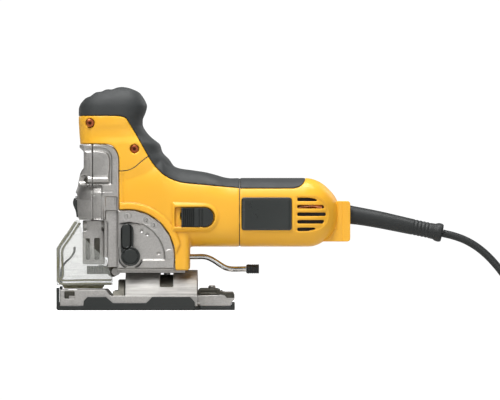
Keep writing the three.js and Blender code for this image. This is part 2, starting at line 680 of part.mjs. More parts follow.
// ---------------------------------------------------------------- bevel lock
addPiece("bevel_bolt", bar("z", 3, 26.9, 53.4, [BEVEL_BOLT_X, 0], 16).add(
  bar("z", 7, 27, 31.7, [BEVEL_BOLT_X, 0], 6)).add(
  bar("z", 5.5, 52.6, 54.6, [BEVEL_BOLT_X, 0], 6)), STEEL);
const rodPath = new THREE.CatmullRomCurve3([
  [21, 48],
  [30, 48],
  [40, 48],
  [49.1, 48],
  [53.4, 46.9],
  [58, 44.6],
  [64, 40.7],
  [68.8, 38],
  [73.7, 36.9],
  [80, 36.9],
  [87.2, 36.9],
].map(([x, z]) => new THREE.Vector3(x, 0, z)));
/** Tube with flat ends along a curve. */
function tube(path, radius, steps, sides) {
  const section = new THREE.Shape().absarc(0, 0, radius, 0, 2 * Math.PI);
  const points = section.getPoints(sides / 2);
  const round = new THREE.Shape(points.slice(0, -1));
  return toSolid(new THREE.ExtrudeGeometry(round, { steps, extrudePath: path, bevelEnabled: false }));
}
addPiece("bevel_lever", tube(rodPath, 2.4, 20, 10).add(
  bar("z", 7.5, 45.2, 51.6, [BEVEL_BOLT_X, 0], 20)).subtract(
  bar("z", 3.4, 40, 60, [BEVEL_BOLT_X, 0], 12)), CHROME);
addPiece("bevel_lever_tip", turned("x", [
  [0, 87.5], [3.7, 87.5], [4.3, 88.2], [4.3, 97.6], [3.4, 99.2], [0, 99.2],
], [0, 36.9], 16), RUBBER);

// ---------------------------------------------------------------- shoe
const NOTCH_HALF = 9;
const REAR_HALF = 29.5;
const solePlan = (half, front, rear, grow) => outline([
  [front, -half],
  [41.4, -half],
  [46, -REAR_HALF + grow],
  [rear, -REAR_HALF + grow],
  [rear, REAR_HALF - grow],
  [46, REAR_HALF - grow],
  [41.4, half],
  [front, half],
]);
const WALL_IN = 37.2; // inner face of the tall side walls
const CLAD_IN = 39.3; // inner face of the black side cladding
const cladding = outline([
  [SHOE_FRONT, 0],
  [SHOE_FRONT, 19],
  [-82.2, 20.5],
  [-81, 20.5],
  [-81, 4],
  [-59.2, 4],
  [-58.9, 8.6],
  [-55.5, 12.3],
  [-39.1, 12.3],
  [-36.4, 10],
  [-32.8, 6.8],
  [-2.7, 6.8],
  [0, 9.1],
  [2.7, 12.3],
  [36.9, 12.3],
  [41.2, 7.7],
  [41.4, 0],
]);
addPiece("shoe_cover", joinAll([
  prism("z", solePlan(SHOE_HALF, SHOE_FRONT, SHOE_REAR, 0), 0, COVER_THICKNESS),
  ...bothSides((side) => sidePrism(side, cladding, CLAD_IN, SHOE_HALF)),
  ...bothSides((side) => sideBlock(side, SHOE_FRONT, -81, WALL_IN, SHOE_HALF, 3, 20.5)),
  block(SHOE_FRONT, -81, -SHOE_HALF, SHOE_HALF, 3, 6.5),
  ...bothSides((side) => sideBlock(side, 74, SHOE_REAR, 0.2, REAR_HALF, 3, 6.4)),
]).subtract(block(-90, -44, -NOTCH_HALF, NOTCH_HALF, -1, 30)), BLACK);

const castingSide = outline([
  [-80.6, 3.75],
  [-80.6, 18.6],
  [-39.1, 18.6],
  [-34.6, 13.2],
  [43.6, 13.2],
  [43.6, 3.75],
]);
const tailSide = outline([
  [40, 3.75],
  [40, 13.2],
  [56, 13.5],
  [64, 13.5],
  [64.5, 17.6],
  [67.8, 15.7],
  [75.6, 15.7],
  [77, 12.3],
  [77, 9.5],
  [73.6, 6.8],
  [73.6, 3.75],
]);
const FENCE = { front: -76.4, rear: -67.3, bottom: 10.5, top: 17.6 };
addPiece("shoe_casting", cutAll(joinAll([
  prism("z", solePlan(CLAD_IN - 0.3, -80.6, 73.6, 0.4), 3.75, 6.2),
  ...bothSides((side) => sidePrism(side, castingSide, WALL_IN, CLAD_IN - 0.3)),
  ...bothSides((side) => sidePrism(side, tailSide, 24.5, REAR_HALF - 0.4)),
  prism("y", tailSide, -26, 26).intersect(block(65, 80, -40, 40, 3.75, 20)),
  block(50, 62, -25, 25, 5, 13.2),
]), [
  block(-90, -43.8, -NOTCH_HALF - 0.3, NOTCH_HALF + 0.3, -1, 30),
  block(FENCE.front, FENCE.rear, -60, 60, FENCE.bottom, FENCE.top),
  ...bothSides((side) => bar("z", 1.9, 8, 20, [56.4, side * 14], 8)),
]), CAST);
addPiece("splinter_insert", block(-71, -44.4, -8.6, 8.6, 0.3, 5.8).subtract(
  block(-80, -48, -1.5, 1.5, -5, 10)), BLACK);

const quadrantTube = turned("x", ring(33.4, TILT_RADIUS, -21.8, 43.4), [0, 0], 44);
addPiece("bevel_quadrant", quadrantTube.intersect(block(-40, 60, -50, 50, 6.55, 50)).subtract(
  block(9.6, 21.4, -40, 40, 20.8, 40)), STEEL);
const clampSide = outline([
  [43.9, 13.6],
  [43.9, 18],
  [45.5, 19.4],
  [60, 19.4],
  [63.7, 18.4],
  [63.7, 13.85],
]);
addPiece("shoe_clamp_plate", cutAll(prism("y", clampSide, -28, 28), [
  ...bothSides((side) => bar("z", 1.9, 8, 30, [56.4, side * 14], 8)),
]).intersect(block(40, 70, -30, 30, 13.85, 30)), BLACK);
for (const [side, word] of [[-1, "left"], [1, "right"]]) {
  const at = [56.4, side * 14];
  addPiece(`shoe_screw_${word}`, bar("z", 1.6, 9, 20, at, 8).add(bar("z", 3.2, 19.7, 21.8, at, 12)), STEEL);
}

// ---------------------------------------------------------------- cord clamp, boot, lead, coil and plug
const clampOuter = prism("y", roundedBox(155, 182, 61.9, 98.7, 2.5), -13, 13, 2);
const clampRoom = block(150, 170.6, -20, 20, 72, 110);
addPiece("cord_clamp", cutAll(clampOuter, [rearForm(-GAP), clampRoom]), YELLOW);
const BOOT_TILT = THREE.MathUtils.degToRad(11.4);
const bootProfile = [
  [0, 0],
  [9.2, 0],
  [9.2, 2],
  [7.7, 3],
  [7.6, 30],
  [7, 72],
  [7.2, 76.5],
  [8.5, 78],
  [8.5, 82],
  [7.6, 83.4],
  [0, 83.4],
];
const bootGeometry = layAlong(new THREE.LatheGeometry(
  bootProfile.map((p) => new THREE.Vector2(...p)), 16), "x");
const BOOT = { x: 184.2, z: 85.9 };
addPiece("cord_boot", toSolid(bootGeometry.rotateY(BOOT_TILT).translate(BOOT.x, 0, BOOT.z)), RUBBER);

/** Centreline of the lead from the boot to beside the coil, laid by hand. */
const CORD_ROUTE = [
  [266.3, 0, 69.35],
  [276, 0, 67],
  [286.5, -0.3, 63.2],
  [297, -1.3, 57.2],
  [306.5, -3, 49.4],
  [315, -5.4, 40.2],
  [322.8, -8.6, 30.2],
  [330.6, -12.7, 20.4],
  [337.6, -17, 12.8],
  [343.3, -21, 8.7],
];
const curveOf = (points) => new THREE.CatmullRomCurve3(points.map((p) => new THREE.Vector3(...p)));
addPiece("cord", tube(curveOf(CORD_ROUTE), CORD_RADIUS, 14, 8), RUBBER);
/** The wound turns of the lead as one ring, grown all round by a clearance. */
function coilForm(grow) {
  const section = ring(
    COIL.radius - COIL.half - grow, COIL.radius + COIL.half + grow,
    COIL.bottom - grow, COIL.bottom + COIL.height + grow);
  return turned("z", section, [COIL.x, COIL.y], 28);
}
addPiece("cord_coil", coilForm(0), RUBBER);
const TIE = { halfWidth: 4, reach: COIL.half + 1.4, top: COIL.bottom + COIL.height + 1.3 };
const tie = block(
  COIL.x - TIE.halfWidth, COIL.x + TIE.halfWidth,
  COIL.radius - TIE.reach, COIL.radius + TIE.reach, 0, TIE.top);
addPiece("cord_tie", tie.subtract(coilForm(GAP)), BLACK);

// The plug lies on the coil; the lead climbs to it over the last quarter turn.
const PLUG = { x: COIL.x + COIL.radius, y: 10, z: 34.2 };
const TAIL_ROUTE = [
  [COIL.x + 32.2, -27.2, 27.2],
  [COIL.x + 37.2, -19.4, 29.8],
  [COIL.x + 40.6, -10.6, 32.4],
  [COIL.x + 41.9, -3, 33.9],
  [COIL.x + COIL.radius, 2.4, 34.2],
];
addPiece("cord_tail", tube(curveOf(TAIL_ROUTE), CORD_RADIUS, 5, 8), RUBBER);
const bladePair = [-6.35, 6.35].map((offset) =>
  block(PLUG.x + offset - 0.75, PLUG.x + offset + 0.75, 44, 64.5, PLUG.z - 3.2, PLUG.z + 3.2));
addPiece("plug", joinAll([
  turned("y", [[0, 2.8], [4.6, 2.8], [5.4, 17], [0, 17]], [PLUG.x, PLUG.z], 12),
  prism("y", roundedBox(PLUG.x - 13, PLUG.x + 13, PLUG.z - 11.2, PLUG.z + 11.2, 5), 16, 45.5, 2),
  ...bladePair,
]), BLACK);

export default jigsaw;
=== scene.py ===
"""Looks of the jigsaw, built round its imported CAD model. Lengths here are millimetres."""

import math

import bmesh
import bpy
import numpy as np
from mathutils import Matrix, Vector


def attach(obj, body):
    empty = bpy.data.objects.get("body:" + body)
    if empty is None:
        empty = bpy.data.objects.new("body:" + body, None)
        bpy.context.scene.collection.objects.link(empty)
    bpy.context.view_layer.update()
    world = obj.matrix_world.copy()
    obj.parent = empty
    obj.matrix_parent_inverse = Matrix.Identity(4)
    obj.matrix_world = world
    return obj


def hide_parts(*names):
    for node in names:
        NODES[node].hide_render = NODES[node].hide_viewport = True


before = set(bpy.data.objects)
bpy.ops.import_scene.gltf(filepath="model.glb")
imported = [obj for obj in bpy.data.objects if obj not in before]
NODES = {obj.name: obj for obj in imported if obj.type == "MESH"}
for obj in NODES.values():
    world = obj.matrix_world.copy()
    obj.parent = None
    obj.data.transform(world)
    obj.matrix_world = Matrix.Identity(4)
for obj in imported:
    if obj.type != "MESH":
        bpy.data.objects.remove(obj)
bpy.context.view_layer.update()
scene = bpy.context.scene
MM = 0.001
SIDES = ((-1, "left"), (1, "right"))  # left is the side that the photo shows, at negative y
ACROSS = 60.0  # past both side faces
OUTSIDE = 40.0  # past either side face, measured from the middle plane
KEY_RADIUS = 1.5  # of the hexagon sockets in the screws


# ---------------- camera and light
VIEW_WIDTH = 455.0  # across the picture, at the middle plane of the tool
VIEW_DISTANCE = 4500.0
VIEW_CENTRE = (91.0, 99.6)
SENSOR = 36.0
CLIP_END = 50  # metres
camera_data = bpy.data.cameras.new("camera")
camera_data.sensor_width = SENSOR
camera_data.lens = SENSOR * VIEW_DISTANCE / VIEW_WIDTH
camera_data.clip_end = CLIP_END
camera = bpy.data.objects.new("camera", camera_data)
camera.location = (VIEW_CENTRE[0] * MM, -VIEW_DISTANCE * MM, VIEW_CENTRE[1] * MM)
camera.rotation_euler = (math.pi / 2, 0, 0)
scene.collection.objects.link(camera)
scene.camera = camera
scene.view_settings.view_transform = "Standard"

AIM = Vector((0.08, 0, 0.09))


def soft_light(name, place, size, power):
    """A square area light, aimed at the middle of the tool; places and sizes in metres."""
    data = bpy.data.lights.new(name, "AREA")
    data.size = size
    data.energy = power
    light = bpy.data.objects.new(name, data)
    light.location = place
    light.rotation_euler = (AIM - Vector(place)).to_track_quat("-Z", "Y").to_euler()
    scene.collection.objects.link(light)


soft_light("key", (-0.4, -0.95, 1.4), 0.7, 21)
soft_light("front_fill", (0.6, -1.7, 0.35), 0.9, 4)
soft_light("top", (0.15, -0.1, 1.4), 0.8, 16)
soft_light("back_left", (-0.7, 1.2, 0.7), 0.9, 2)
soft_light("back_right", (1.1, 1.0, 0.7), 0.9, 4)

AMBIENT = 0.17
BACKDROP = 1.05  # seen by the camera only
world = bpy.data.worlds.new("studio")
scene.world = world
world.use_nodes = True
sky = world.node_tree
shade = sky.nodes["Background"]
shade.inputs["Color"].default_value = (1, 1, 1, 1)
rays = sky.nodes.new("ShaderNodeLightPath")
strength = sky.nodes.new("ShaderNodeMapRange")
strength.inputs["To Min"].default_value = AMBIENT
strength.inputs["To Max"].default_value = BACKDROP
sky.links.new(rays.outputs["Is Camera Ray"], strength.inputs["Value"])
sky.links.new(strength.outputs["Result"], shade.inputs["Strength"])


# ---------------- mesh tools
def new_object(name, verts, faces):
    """A mesh object from vertices in millimetres."""
    mesh = bpy.data.meshes.new(name)
    mesh.from_pydata((np.asarray(verts, float) * MM).tolist(), [], faces)
    made = bpy.data.objects.new(name, mesh)
    scene.collection.objects.link(made)
    return made


def drop(made):
    mesh = made.data
    bpy.data.objects.remove(made)
    bpy.data.meshes.remove(mesh)


def settle(made):
    """Applies the modifiers."""
    made.hide_viewport = False
    graph = bpy.context.evaluated_depsgraph_get()
    mesh = bpy.data.meshes.new_from_object(made.evaluated_get(graph))
    old = made.data
    made.modifiers.clear()
    made.data = mesh
    bpy.data.meshes.remove(old)
    return made


def modify(made, kind, **values):
    modifier = made.modifiers.new(kind, kind)
    for key, value in values.items():
        setattr(modifier, key, value)
    return modifier


def combine(made, others, operation):
    """A boolean of a solid with others, which are used up."""
    for other in others:
        modify(made, "BOOLEAN", operation=operation, solver="MANIFOLD", object=other)
    settle(made)
    for other in others:
        drop(other)
    return made


def add(made, *others):
    return combine(made, others, "UNION")


def cut(made, *others):
    return combine(made, others, "DIFFERENCE")


def keep(made, *others):
    return combine(made, others, "INTERSECT")


def face_out(made, join_within=0.0):
    """Turns every face outwards, after joining vertices closer than a distance in metres."""
    work = bmesh.new()
    work.from_mesh(made.data)
    if join_within:
        bmesh.ops.remove_doubles(work, verts=work.verts, dist=join_within)
    bmesh.ops.recalc_face_normals(work, faces=work.faces)
    work.to_mesh(made.data)
    work.free()
    return made


def copy_of(source):
    """A closed copy of a CAD node, given by name, or of another object."""
    source = NODES[source] if isinstance(source, str) else source
    made = bpy.data.objects.new("copy", source.data.copy())
    made.data.materials.clear()
    scene.collection.objects.link(made)
    return face_out(made, 1e-6)


def remesh(made, voxel, smooth=2):
    """Rounds every edge: one even skin of small voxels, then smoothing passes."""
    modify(made, "REMESH", mode="VOXEL", voxel_size=voxel * MM)
    modify(made, "SMOOTH", factor=0.5, iterations=smooth)
    return settle(made)


def softened(node, voxel, smooth=2, adds=(), cuts=()):
    """A CAD node with added and cut detail, and every edge rounded as cast or moulded parts are."""
    made = copy_of(node)
    if adds:
        add(made, *adds)
    if cuts:
        cut(made, *cuts)
    return remesh(made, voxel, smooth)


# ---------------- outlines and solids
def arc(x, z, radius, start, end, steps=24):
    """Points of an arc; the angles are degrees."""
    return [
        (x + radius * math.cos(a), z + radius * math.sin(a))
        for a in np.radians(np.linspace(start, end, steps + 1))
    ]


def circle(x, z, radius, steps=40):
    return arc(x, z, radius, 0, 360, steps)[:-1]


def curve(points, steps=8):
    """A smooth open line through the points, of two or three coordinates."""
    p = np.asarray(points, float)
    p = np.vstack([2 * p[0] - p[1], p, 2 * p[-1] - p[-2]])
    made = []
    for a, b, c, d in zip(p, p[1:], p[2:], p[3:]):
        # centripetal knots keep uneven spacing from overshooting
        knots = np.cumsum([0, *(max(np.linalg.norm(v), 1e-6) ** 0.5 for v in (b - a, c - b, d - c))])
        t0, t1, t2, t3 = knots
        for t in np.linspace(t1, t2, steps, endpoint=False):
            ab = (t1 - t) / (t1 - t0) * a + (t - t0) / (t1 - t0) * b
            bc = (t2 - t) / (t2 - t1) * b + (t - t1) / (t2 - t1) * c
            cd = (t3 - t) / (t3 - t2) * c + (t - t2) / (t3 - t2) * d
            first = (t2 - t) / (t2 - t0) * ab + (t - t0) / (t2 - t0) * bc
            last = (t3 - t) / (t3 - t1) * bc + (t - t1) / (t3 - t1) * cd
            made.append((t2 - t) / (t2 - t1) * first + (t - t1) / (t2 - t1) * last)
    made.append(p[-2])
    return [tuple(v) for v in made]


def rounded(points, radius, steps=6):
    """A closed outline with rounded corners, which take at most 0.48 of each side."""
    made = []
    count = len(points)
    for i, point in enumerate(points):
        here = np.array(point, float)
        to_prev = np.array(points[i - 1], float) - here
        to_next = np.array(points[(i + 1) % count], float) - here
        before, after = np.linalg.norm(to_prev), np.linalg.norm(to_next)
        reach = min(radius, 0.48 * before, 0.48 * after)
        start, end = here + to_prev / before * reach, here + to_next / after * reach
        for t in np.linspace(0, 1, steps + 1):
            made.append(tuple((1 - t) ** 2 * start + 2 * t * (1 - t) * here + t * t * end))
    return made


def box_outline(x0, x1, z0, z1, radius):
    return rounded([(x0, z0), (x1, z0), (x1, z1), (x0, z1)], radius)


def hexagon(x, z):
    """The outline of a socket for a hexagon key."""
    return circle(x, z, KEY_RADIUS, 6)


def shifted(outline, dx, dz):
    return [(x + dx, z + dz) for x, z in outline]


def stroke(points, width):
    """The outline of a line of some width through side-view points."""
    line = np.array(points, float)
    step = np.gradient(line, axis=0)
    step /= np.linalg.norm(step, axis=1)[:, None]
    normal = np.column_stack([-step[:, 1], step[:, 0]]) * width / 2
    return [tuple(p) for p in np.vstack([line + normal, (line - normal)[::-1]])]


PLACE = {
    "y": lambda p, at: (p[0], at, p[1]),
    "z": lambda p, at: (p[0], p[1], at),
    "x": lambda p, at: (at, p[0], p[1]),
}


def prism(axis, outline, low, high):
    """An outline pushed along an axis. Outlines are (x, z) for y, (x, y) for z and (y, z) for x."""
    count = len(outline)
    verts = [PLACE[axis](p, at) for at in (low, high) for p in outline]
    faces = [tuple(range(count)), tuple(range(2 * count - 1, count - 1, -1))]
    for i in range(count):
        j = (i + 1) % count
        faces.append((i, i + count, j + count, j))
    return face_out(new_object("prism", verts, faces))


def block(x0, x1, y0, y1, z0, z1):
    return prism("y", [(x0, z0), (x1, z0), (x1, z1), (x0, z1)], y0, y1)


def rings(rows):
    """A closed skin through rows of points, each row a ring, with flat ends."""
    rows = [list(map(tuple, row)) for row in rows]
    count = len(rows[0])
    verts = [p for row in rows for p in row]
    faces = []
    for r in range(len(rows) - 1):
        for i in range(count):
            j = (i + 1) % count
            a, b = r * count, (r + 1) * count
            faces.append((a + i, a + j, b + j, b + i))
    faces.append(tuple(range(count - 1, -1, -1)))
    faces.append(tuple(range((len(rows) - 1) * count, len(rows) * count)))
    return face_out(new_object("rings", verts, faces))


def turned(axis, profile, at, sides=48):
    """A solid of revolution: profile rows are (place along the axis, radius)."""
    rows = []
    for place, radius in profile:
        rows.append([
            PLACE[axis](p, place) for p in circle(at[0], at[1], max(radius, 0.02), sides)
        ])
    return rings(rows)


def bar(axis, radius, low, high, at, sides=40):
    return prism(axis, circle(at[0], at[1], radius, sides), low, high)


def through(outline, reach=ACROSS):
    """A side-view outline pushed right through the tool."""
    return prism("y", outline, -reach, reach)


def side_prism(side, outline, near, far=OUTSIDE):
    """An outline between two distances from the middle plane, on one side of it."""
    return prism("y", outline, *sorted((side * near, side * far)))


def tube(line, radii, sides):
    """A round bar of changing radius along a line in the plane y = 0."""
    line = np.asarray(line, float)
    rows = []
    for i, (place, radius) in enumerate(zip(line, radii)):
        ahead = line[min(i + 1, len(line) - 1)] - line[max(i - 1, 0)]
        ahead /= np.linalg.norm(ahead)
        rows.append([
            (place[0] - ahead[2] * radius * math.sin(a), radius * math.cos(a),
             place[2] + ahead[0] * radius * math.sin(a))
            for a in np.linspace(0, 2 * math.pi, sides, endpoint=False)
        ])
    return rings(rows)


def smooth_values(xs, ys, at):
    """Smooth values between stations, without overshoot."""
    xs, ys, at = (np.asarray(v, float) for v in (xs, ys, at))
    step = np.diff(xs)
    slope = np.diff(ys) / step
    tangent = np.zeros(len(xs))
    tangent[0], tangent[-1] = slope[0], slope[-1]
    for i in range(1, len(xs) - 1):
        if slope[i - 1] * slope[i] > 0:
            a, b = 2 * step[i] + step[i - 1], step[i] + 2 * step[i - 1]
            tangent[i] = (a + b) / (a / slope[i - 1] + b / slope[i])
    i = np.clip(np.searchsorted(xs, at) - 1, 0, len(xs) - 2)
    t = (at - xs[i]) / step[i]
    return (
        (2 * t**3 - 3 * t**2 + 1) * ys[i] + (t**3 - 2 * t**2 + t) * step[i] * tangent[i]
        + (3 * t**2 - 2 * t**3) * ys[i + 1] + (t**3 - t**2) * step[i] * tangent[i + 1]
    )


def loft(axis, stations, inset=0.0, rows=90, sides=120, power=3.0):
    """Superellipse sections (place, low, high, half-width) joined along x or z."""
    table = np.array(stations, float)
    places = np.unique(np.concatenate([
        np.linspace(table[0, 0], table[-1, 0], rows), table[:, 0]
    ]))
    low, high, half = (
        smooth_values(table[:, 0], table[:, i], places) for i in (1, 2, 3))
    angles = np.linspace(0, 2 * math.pi, sides, endpoint=False)
    across, along = (
        np.sign(v) * np.abs(v) ** (2 / power) for v in (np.cos(angles), np.sin(angles)))
    made = []
    for place, a, b, h in zip(places, low, high, half):
        wide = max(h - inset, 0.8) * across
        tall = (a + b) / 2 + max((b - a) / 2 - inset, 0.8) * along
        if axis == "x":
            made.append([(place, w, t) for w, t in zip(wide, tall)])
        else:
            made.append([(t, w, place) for w, t in zip(wide, tall)])
    return rings(made)


# ---------------- materials
class Paint:
    """One procedural material on a Principled shader, in object space."""

    def __init__(self, name, slot, **constants):
        self.material = bpy.data.materials.new(name)
        self.material.use_nodes = True
        self.slot = slot
        self.tree = self.material.node_tree
        self.shader = self.tree.nodes["Principled BSDF"]
        self.place = self.node("ShaderNodeTexCoord").outputs["Object"]
        for socket, value in constants.items():
            self.shader.inputs[socket.replace("_", " ")].default_value = value
        self.height = None

    def node(self, kind, **values):
        made = self.tree.nodes.new(kind)
        for key, value in values.items():
            if key in made.inputs:
                made.inputs[key].default_value = value
            else:
                setattr(made, key, value)
        return made

    def link(self, source, target):
        self.tree.links.new(source, target)

    def noise(self, per_metre, detail=3.0, stretch=(1, 1, 1)):
        made = self.node("ShaderNodeTexNoise", Scale=per_metre, Detail=detail, Roughness=0.55)
        mapping = self.node("ShaderNodeMapping", Scale=stretch)
        self.link(self.place, mapping.inputs["Vector"])
        self.link(mapping.outputs["Vector"], made.inputs["Vector"])
        return made.outputs["Fac"]

    def ramp(self, source, low, high, start=0.0, end=1.0):
        """source between start and end, as a value from low to high."""
        made = self.node("ShaderNodeMapRange")
        for key, value in zip(("From Min", "From Max", "To Min", "To Max"), (start, end, low, high)):
            made.inputs[key].default_value = value
        self.link(source, made.inputs["Value"])
        return made.outputs["Result"]

    def math(self, operation, a, b):
        made = self.node("ShaderNodeMath", operation=operation)
        for socket, value in zip(made.inputs, (a, b)):
            if isinstance(value, (int, float)):
                socket.default_value = value
            else:
                self.link(value, socket)
        return made.outputs[0]

    def blend(self, factor, a, b):
        """Colour a where factor is 0 and b where it is 1."""
        made = self.node("ShaderNodeMix", data_type="RGBA")
        for socket, value in ((made.inputs[6], a), (made.inputs[7], b)):
            if isinstance(value, tuple):
                socket.default_value = (*value, 1)
            else:
                self.link(value, socket)
        self.link(factor, made.inputs[0])
        return made.outputs[2]

    def pointiness(self):
        return self.node("ShaderNodeNewGeometry").outputs["Pointiness"]

    def edges(self, start=0.52, end=0.6):
        """1 on convex edges and 0 elsewhere."""
        return self.ramp(self.pointiness(), 0.0, 1.0, start, end)

    def hollows(self, most, start, end):
        """The most in deep hollows and 0 elsewhere: the mask of the painted shade."""
        return self.ramp(self.pointiness(), most, 0.0, start, end)

    def colour(self, source):
        self.link(source, self.shader.inputs["Base Color"])

    def rough(self, source):
        self.link(source, self.shader.inputs["Roughness"])

    def bump(self, source, strength=0.2, depth=0.1):
        """Bump from a height; depth is millimetres."""
        made = self.node("ShaderNodeBump", Strength=strength, Distance=depth * MM)
        self.link(source, made.inputs["Height"])
        if self.height:
            self.link(self.height, made.inputs["Normal"])
        self.height = made.outputs["Normal"]
        self.link(self.height, self.shader.inputs["Normal"])


def moulded(name, slot, body, pale, dark, roughness, grain=1500, depth=0.05, worn=None, **constants):
    """Moulded plastic or rubber: fine spark-eroded grain, faint clouds of tone, painted shade in the hollows.
    """
    p = Paint(name, slot, **constants)
    tone = p.blend(p.ramp(p.noise(14, 4), 0, 1, 0.3, 0.7), body, pale)
    # painted shade: the hollows are darkened towards the dark colour, as if less light reached them
    tone = p.blend(p.hollows(0.75, 0.44, 0.5), tone, dark)
    if worn:
        scuffs = p.math("MULTIPLY", p.edges(0.53, 0.62), p.ramp(p.noise(90, 6), 0, 1, 0.45, 0.6))
        tone = p.blend(p.math("MULTIPLY", scuffs, 0.6), tone, worn)
    p.colour(tone)
    p.rough(p.ramp(p.noise(45, 5), roughness - 0.06, roughness + 0.08, 0.3, 0.7))
    p.bump(p.noise(grain, 2), 0.35, depth)
    p.bump(p.noise(70, 2), 0.1, 0.25)
    return p


def metal(name, slot, body, dark, roughness, stretch=(1, 1, 1), grain=900, depth=0.06, **constants):
    """Metal with a directional or even grain, painted shade in the hollows and brighter on worn edges."""
    p = Paint(name, slot, Metallic=1.0, **constants)
    streaks = p.noise(grain, 3, stretch)
    tone = p.blend(p.ramp(streaks, 0, 1, 0.3, 0.7), body, tuple(0.82 * c for c in body))
    blotches = p.ramp(p.noise(30, 5), 0, 0.5, 0.5, 0.75)
    tone = p.blend(blotches, tone, dark)
    # painted shade: darker in the hollows, as if less light reached them
    tone = p.blend(p.hollows(0.9, 0.42, 0.495), tone, dark)
    bright = tuple(min(1.0, 1.25 * c) for c in body)
    tone = p.blend(p.math("MULTIPLY", p.edges(), 0.6), tone, bright)
    p.colour(tone)
    p.rough(p.ramp(p.noise(grain / 3, 4, stretch), roughness - 0.08, roughness + 0.1, 0.3, 0.7))
    p.bump(streaks, 0.3, depth)
    return p


YELLOW = moulded(
    "yellow_nylon", "yellow_plastic", (0.93, 0.46, 0.03), (0.95, 0.5, 0.035), (0.5, 0.16, 0.004),
    0.36, worn=(0.97, 0.62, 0.12), Specular_IOR_Level=0.45)
RUBBER = moulded(
    "grip_rubber", "rubber", (0.022, 0.025, 0.026), (0.03, 0.033, 0.033), (0.006, 0.007, 0.007),
    0.6, grain=2200, depth=0.08, worn=(0.05, 0.05, 0.05), Sheen_Weight=0.05, Sheen_Roughness=0.5)
BLACK = moulded(
    "black_nylon", "black_plastic", (0.014, 0.017, 0.016), (0.02, 0.023, 0.022), (0.005, 0.0055, 0.005),
    0.45, worn=(0.09, 0.095, 0.095))
BADGE = moulded(
    "badge_plastic", "badge_plastic", (0.012, 0.016, 0.015), (0.018, 0.023, 0.021), (0.005, 0.005, 0.005),
    0.3, grain=900, depth=0.02, Coat_Weight=0.4, Coat_Roughness=0.12)
CORD = moulded(
    "lead_rubber", "cord_rubber", (0.011, 0.013, 0.013), (0.016, 0.018, 0.018), (0.004, 0.005, 0.005),
    0.5, grain=1200, depth=0.06)
NYLON = moulded(
    "white_nylon", "nylon", (0.62, 0.58, 0.48), (0.7, 0.66, 0.56), (0.3, 0.26, 0.2),
    0.5, Subsurface_Weight=0.05, Subsurface_Radius=(0.002, 0.001, 0.0008))
CARBON = moulded(
    "brush_carbon", "carbon", (0.012, 0.012, 0.013), (0.02, 0.02, 0.021), (0.005, 0.005, 0.005), 0.7)
CAST = metal(
    "cast_aluminium", "cast_aluminium", (0.56, 0.545, 0.525), (0.2, 0.195, 0.185), 0.46,
    grain=700, depth=0.12)
STEEL = metal(
    "ground_steel", "steel", (0.5, 0.5, 0.49), (0.16, 0.155, 0.15), 0.3, stretch=(0.06, 1, 1))
RAIL = metal(
    "brushed_rail", "steel", (0.47, 0.46, 0.44), (0.2, 0.195, 0.19), 0.62, stretch=(0.05, 1, 1))
BLUED = metal(
    "blued_steel", "steel", (0.11, 0.105, 0.09), (0.03, 0.028, 0.022), 0.42, grain=500)
CHROME = metal(
    "chromed_rod", "chrome", (0.72, 0.72, 0.71), (0.3, 0.3, 0.26), 0.12, grain=400, depth=0.02)
SCREW = metal(
    "dark_screw", "screw_steel", (0.42, 0.12, 0.05), (0.07, 0.02, 0.012), 0.4, grain=1200)
OLIVE = moulded(
    "guard_edge", "clear_plastic", (0.2, 0.19, 0.09), (0.3, 0.28, 0.15), (0.03, 0.03, 0.012),
    0.18, grain=300, depth=0.02, Transmission_Weight=0.35, Coat_Weight=0.5, Coat_Roughness=0.05)
COPPER = metal(
    "copper_wire", "copper", (0.62, 0.27, 0.14), (0.2, 0.07, 0.04), 0.3, stretch=(1, 0.1, 0.1))
BRONZE = metal(
    "sintered_bronze", "bronze", (0.45, 0.3, 0.15), (0.15, 0.09, 0.05), 0.42, grain=1600)


def clear_plastic():
    """Clear polycarbonate: fine scratches, and denser and olive where it is seen edge on."""
    p = Paint("clear_guard", "clear_plastic", IOR=1.58, Coat_Weight=0.6, Coat_Roughness=0.04)
    facing = p.node("ShaderNodeLayerWeight", Blend=0.35).outputs["Facing"]
    tint = p.blend(p.ramp(p.noise(40, 3), 0, 1, 0.35, 0.65), (0.9, 0.92, 0.88), (0.78, 0.81, 0.76))
    p.colour(p.blend(p.ramp(facing, 0, 1, 0.35, 0.85), tint, (0.2, 0.19, 0.11)))
    scratches = p.noise(260, 6, (0.25, 1, 2.5))
    p.rough(p.ramp(scratches, 0.04, 0.2, 0.5, 0.75))
    haze = p.ramp(scratches, 0, 0.08, 0.45, 0.7)
    alpha = p.math("ADD", p.ramp(facing, 0.15, 0.95, 0.15, 0.9), haze)
    p.link(alpha, p.shader.inputs["Alpha"])
    p.bump(scratches, 0.06, 0.04)
    return p


CLEAR = clear_plastic()


def declare(made, body, finish, *nodes):
    """Gives an object its finish and lets it ride in place of CAD nodes."""
    made.data.materials.clear()
    made.data.materials.append(finish.material)
    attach(made, body)
    if nodes:
        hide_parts(*nodes)
    return made


def soften(made, angle=None):
    """Smooth shading, with edges sharper than the angle in degrees kept crisp."""
    mesh = made.data
    mesh.polygons.foreach_set("use_smooth", [True] * len(mesh.polygons))
    if angle:
        mesh.set_sharp_from_angle(angle=math.radians(angle))


def piece(name, made, body, finish, *nodes, angle=None):
    """Names, shades and declares a finished mesh."""
    made.name = name
    made.data.name = name
    soften(made, angle)
    declare(made, body, finish, *nodes)


